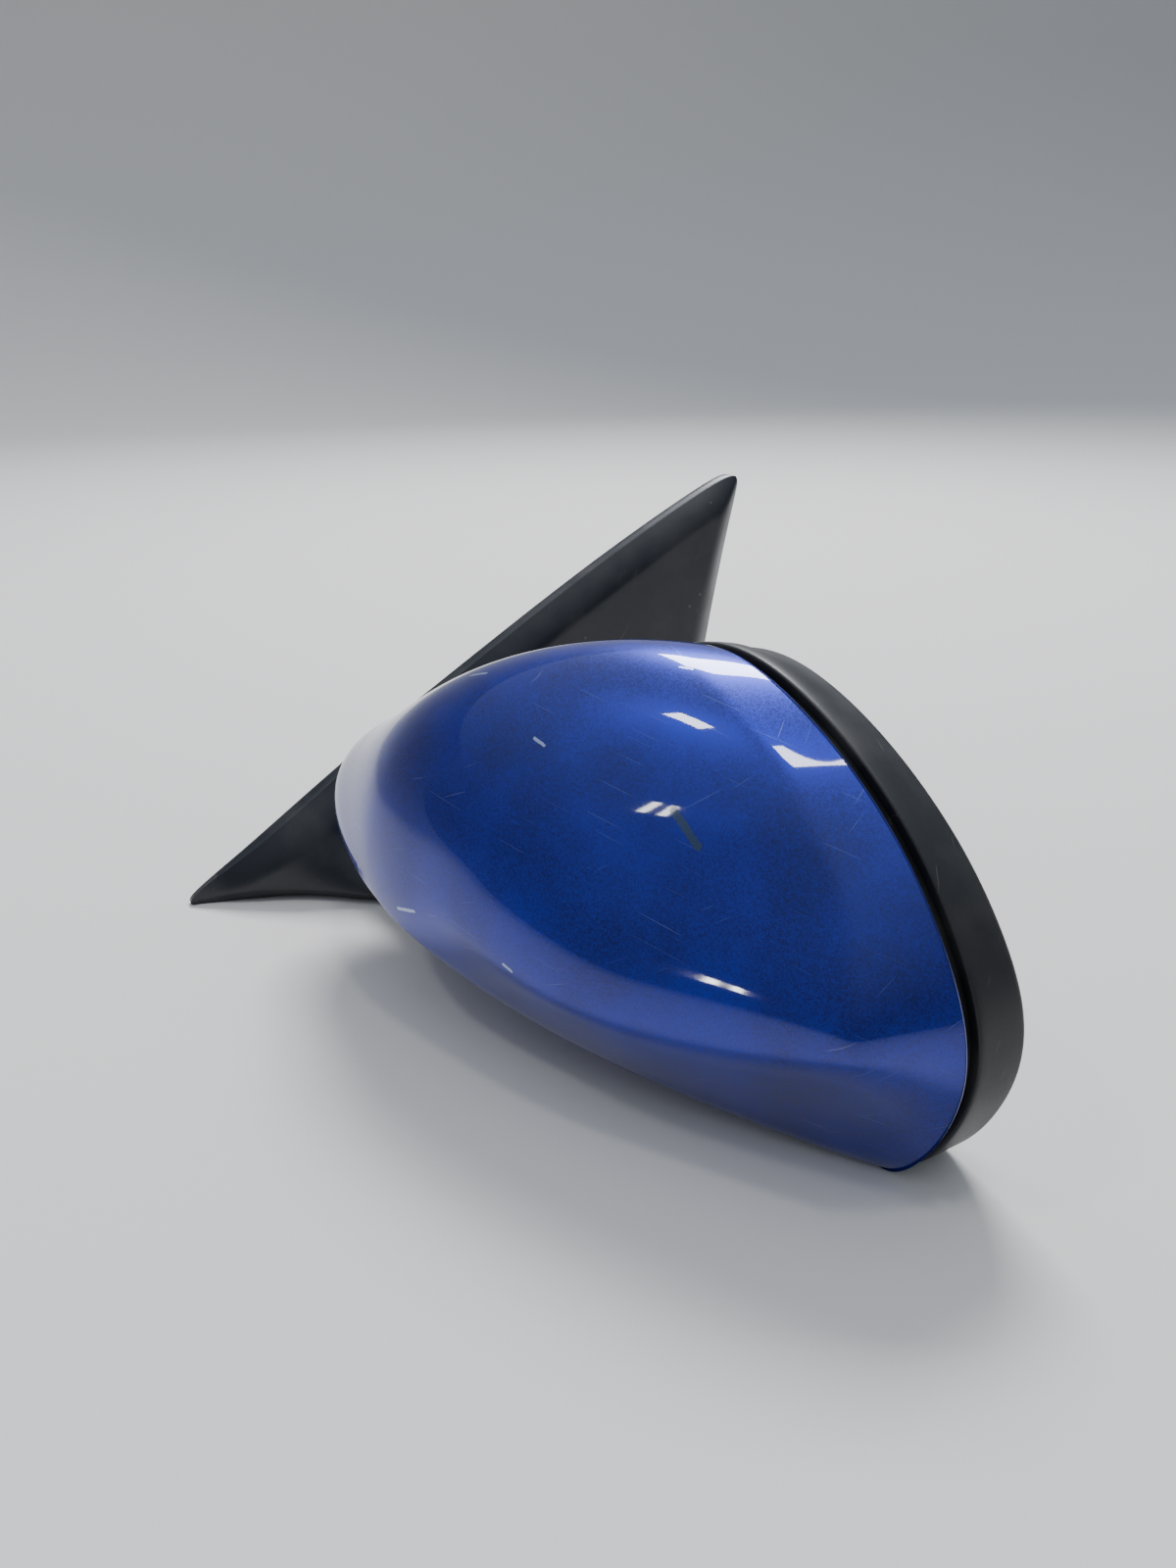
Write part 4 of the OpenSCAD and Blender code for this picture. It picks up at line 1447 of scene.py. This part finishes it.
@dataclass
class DoorSide(Assembly):
    """What meets the door: the foam gasket and the pins of the socket.

    Attributes:
        outer: Share of the way from the sail's edge to its face of the gasket's outside.
        inner: The same for its inside.
        pin: Half-width of a contact pin, in mm.
        pitch: Distance between pins along the socket, in mm.
        rows: Distance between the two rows of pins, in mm.
        first: Distance of the first pin from the end of its carrier, in mm.
        plate: Thickness of the pins' carrier, in mm.
        ridge: Height of a thread ridge, in mm.
        turns: Thread ridges in each bore.
    """

    palette: Palette
    outer: float = 0.55
    inner: float = 0.9
    pin: float = 0.4
    pitch: float = 4.0
    rows: float = 4.4
    first: float = 2.0
    plate: float = 1.0
    ridge: float = 0.35
    turns: int = 7

    def gasket(self, sail: SailFoot) -> None:
        """The foam gasket, with soft edges."""
        edge, face = spline_loop(sail.edge, AROUND), spline_loop(sail.face, AROUND)
        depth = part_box("door_gasket")[0][1] / MM
        profile = rounded(
            [(self.outer, 0.0), (self.outer, depth), (self.inner, depth), (self.inner, 0.0)], 0.1
        )
        rings = []
        for share, y in profile:
            loop = edge + (face - edge) * share
            rings.append(np.column_stack([loop[:, 0], np.full(AROUND, y), loop[:, 1]]))
        piece = ring_mesh("foam_gasket", rings, Ends.HOOP)
        sharpen(piece, 60)
        self.finish(piece, Body.FOOT, "foam", "door_gasket")

    def pins(self) -> None:
        """The contact pins in the socket, pointed at the tip, on their carrier."""
        low, high = (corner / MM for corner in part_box("socket_contacts"))
        plate, tip = low[1] + self.plate, high[1]
        x, z = low[0] + self.first, (low[2] + high[2] - self.rows) / 2
        turn = (np.arange(4) + 0.5) * math.pi / 2
        rings = []
        for y, share in ((plate, 1.0), (tip - 0.9, 1.0), (tip - 0.3, 0.6), (tip, 0.25)):
            reach = self.pin * math.sqrt(2) * share
            rings.append(
                np.column_stack([x + reach * np.cos(turn), np.full(4, y), z + reach * np.sin(turn)])
            )
        piece = ring_mesh("socket_pins", rings, Ends.CAPPED)
        sharpen(piece, 20)
        Repeat(5, (self.pitch, 0, 0), 2, (0, 0, self.rows)).apply(
            piece, self.palette.built["contact_brass"]
        )
        self.finish(piece, Body.FOOT, "contact_brass", "socket_contacts")
        corners = [(low[0], low[2]), (low[0], high[2]), (high[0], high[2]), (high[0], low[2])]
        loop = np.array(rounded(corners, 0.8))
        sheet = [
            np.column_stack([loop[:, 0], np.full(len(loop), y), loop[:, 1]])
            for y in (low[1], plate + 0.05)
        ]
        carrier = ring_mesh("contact_carrier", sheet, Ends.CAPPED)
        sharpen(carrier, 30)
        self.finish(carrier, Body.FOOT, "socket_black")

    def threads(self) -> None:
        """Thread ridges in the three bores that take the door's screws."""
        turn = np.linspace(0, 2 * math.pi, 40, endpoint=False)
        for mount in frame["record"]["mounts"]:
            if mount["kind"] != "threaded_hole":
                continue
            x, _, z = (value / MM for value in mount["pos_m"])
            bore = mount["dims"]["r_mm"]
            rings = [
                np.column_stack([x + r * np.cos(turn), np.full(40, y), z + r * np.sin(turn)])
                for r, y in ((bore, -0.55), (bore - self.ridge, -0.95), (bore, -1.35))
            ]
            piece = ring_mesh(mount["name"] + "_thread", rings, Ends.HOOP)
            sharpen(piece, 30)
            Repeat(self.turns, (0, -1, 0)).apply(piece, self.palette.built["bracket_alloy"])
            self.finish(piece, Body.FOOT, "bracket_alloy")

    def build(self) -> None:
        """Makes the gasket, the pins and the threads."""
        self.gasket(SailFoot(self.palette))
        self.pins()
        self.threads()


# ---------------------------------------------------------------- stage


@dataclass
class Studio:
    """Pale floor, soft lights and the camera.

    Attributes:
        eye: Camera place, in mm.
        pitch: How far the camera looks down, in degrees.
        turn: How far it is turned about the vertical, in degrees.
        focal: Focal length as a share of the frame's height.
        film: Height of the camera's film, in mm.
        tubes: Place of each pair of small tubes, and half the gap between them, in metres.
    """

    eye: tuple[float, float, float] = (-171.6, -433.2, 158.3)
    pitch: float = 21.3
    turn: float = -27.0
    focal: float = 0.75125
    film: float = 36.0
    tubes: tuple[tuple[tuple[float, float, float], float], ...] = (
        ((-1.45, -0.29, 0.76), 0.024), ((-1.48, -0.54, 0.17), 0.012),
    )

    def camera(self) -> None:
        """Makes the camera."""
        data = bpy.data.cameras.new("camera")
        data.sensor_fit = "VERTICAL"
        data.sensor_height = self.film
        data.lens = self.focal * self.film
        data.clip_start = 0.01
        camera = bpy.data.objects.new("camera", data)
        camera.location = Vector(self.eye) * MM
        camera.rotation_euler = (math.radians(90 - self.pitch), 0, math.radians(self.turn))
        bpy.context.scene.collection.objects.link(camera)
        bpy.context.scene.camera = camera

    def floor(self) -> None:
        """Makes the pale floor with a soft upturn behind."""
        low = CAD_BOX[0][2]
        bm = bmesh.new()
        reach, start, rise, radius = 4.0, 2.2, 3.0, 1.2
        section = [(-reach, 0.0), (start, 0.0)]
        section += [
            (start + radius * math.sin(a), radius * (1 - math.cos(a)))
            for a in np.linspace(0.1, math.pi / 2, 12)
        ]
        section.append((start + radius, rise))
        rows = []
        for side in (-reach * 1.5, reach * 1.5):
            rows.append([bm.verts.new((side, y, low + z)) for y, z in section])
        for i in range(len(section) - 1):
            bm.faces.new((rows[0][i], rows[1][i], rows[1][i + 1], rows[0][i + 1]))
        mesh = bpy.data.meshes.new("floor")
        bm.to_mesh(mesh)
        bm.free()
        mesh.shade_smooth()
        floor = bpy.data.objects.new("floor", mesh)
        bpy.context.scene.collection.objects.link(floor)
        finish = Finish("pale_floor")
        finish.set(Base_Color=linear("#d9d6d0"), Roughness=0.85)
        floor.data.materials.append(finish.material)

    def area(self, name: str, place: Sequence[float], aim: Sequence[float],
             size: tuple[float, float], power: float, colour: str) -> None:
        """Adds a rectangular light.

        Args:
            name: The light's name.
            place: Where it hangs, in metres.
            aim: Where it points, in metres.
            size: Width and height, in metres.
            power: Output in watts.
            colour: Its colour.
        """
        data = bpy.data.lights.new(name, "AREA")
        data.shape = "RECTANGLE"
        data.size, data.size_y = size
        data.energy = power
        data.color = linear(colour)[:3]
        light = bpy.data.objects.new(name, data)
        light.location = place
        light.rotation_euler = (Vector(aim) - Vector(place)).to_track_quat("-Z", "Y").to_euler()
        bpy.context.scene.collection.objects.link(light)

    @staticmethod
    def sky(tree: bpy.types.NodeTree) -> None:
        """Lights the room softly: bright overhead, falling away to the sides."""
        way = add_node(tree, "ShaderNodeTexCoord").outputs["Generated"]
        up = add_node(tree, "ShaderNodeSeparateXYZ", links={0: way}).outputs["Z"]
        fade = add_node(
            tree, "ShaderNodeMapRange", {1: 0.05, 2: 1.0, 3: 0.0, 4: 1.0}, {0: up},
            interpolation_type="SMOOTHSTEP",
        ).outputs[0]
        strength = add_node(
            tree, "ShaderNodeMapRange", {1: 0.0, 2: 1.0, 3: 0.24, 4: 1.25}, {0: fade}
        ).outputs[0]
        background = tree.nodes["Background"]
        background.inputs["Color"].default_value = linear("#c9d2e2")
        tree.links.new(strength, background.inputs["Strength"])

    def build(self) -> None:
        """Makes the whole stage."""
        self.camera()
        self.floor()
        world = bpy.data.worlds.new("soft_room")
        bpy.context.scene.world = world
        world.use_nodes = True
        self.sky(world.node_tree)
        heart = (0.0, -0.19, 0.03)
        self.area("key", (0.75, 0.95, 1.7), heart, (0.9, 0.5), 62, "#f6f8ff")
        for number, (place, spread) in enumerate(self.tubes):
            for side in (-1, 1):
                at = Vector(place) + Vector((0.0, spread * side, 0.0))
                size = (spread * 0.9, spread * 4)
                self.area(f"tube_{number}_{side}", at, heart, size, 9.0 * spread, "#ffffff")
        self.area("overhead_near", (-0.75, 0.02, 1.2), heart, (0.17, 0.09), 1.8, "#ffffff")
        self.area("overhead_far", (0.01, -0.38, 1.5), heart, (0.13, 0.17), 2.4, "#ffffff")


def main() -> None:
    """Builds every sub-assembly in order."""
    logging.basicConfig(level=logging.INFO, format="%(name)s: %(message)s")
    Studio().build()
    palette = Palette()
    palette.dress_nodes()
    for assembly in (
        PaintedCap(palette), Bezel(palette), GlassPack(palette), SailFoot(palette),
        ArmShroud(palette), FoldPivot(palette), DoorSide(palette),
    ):
        assembly.build()


if __name__ == "__main__":
    main()
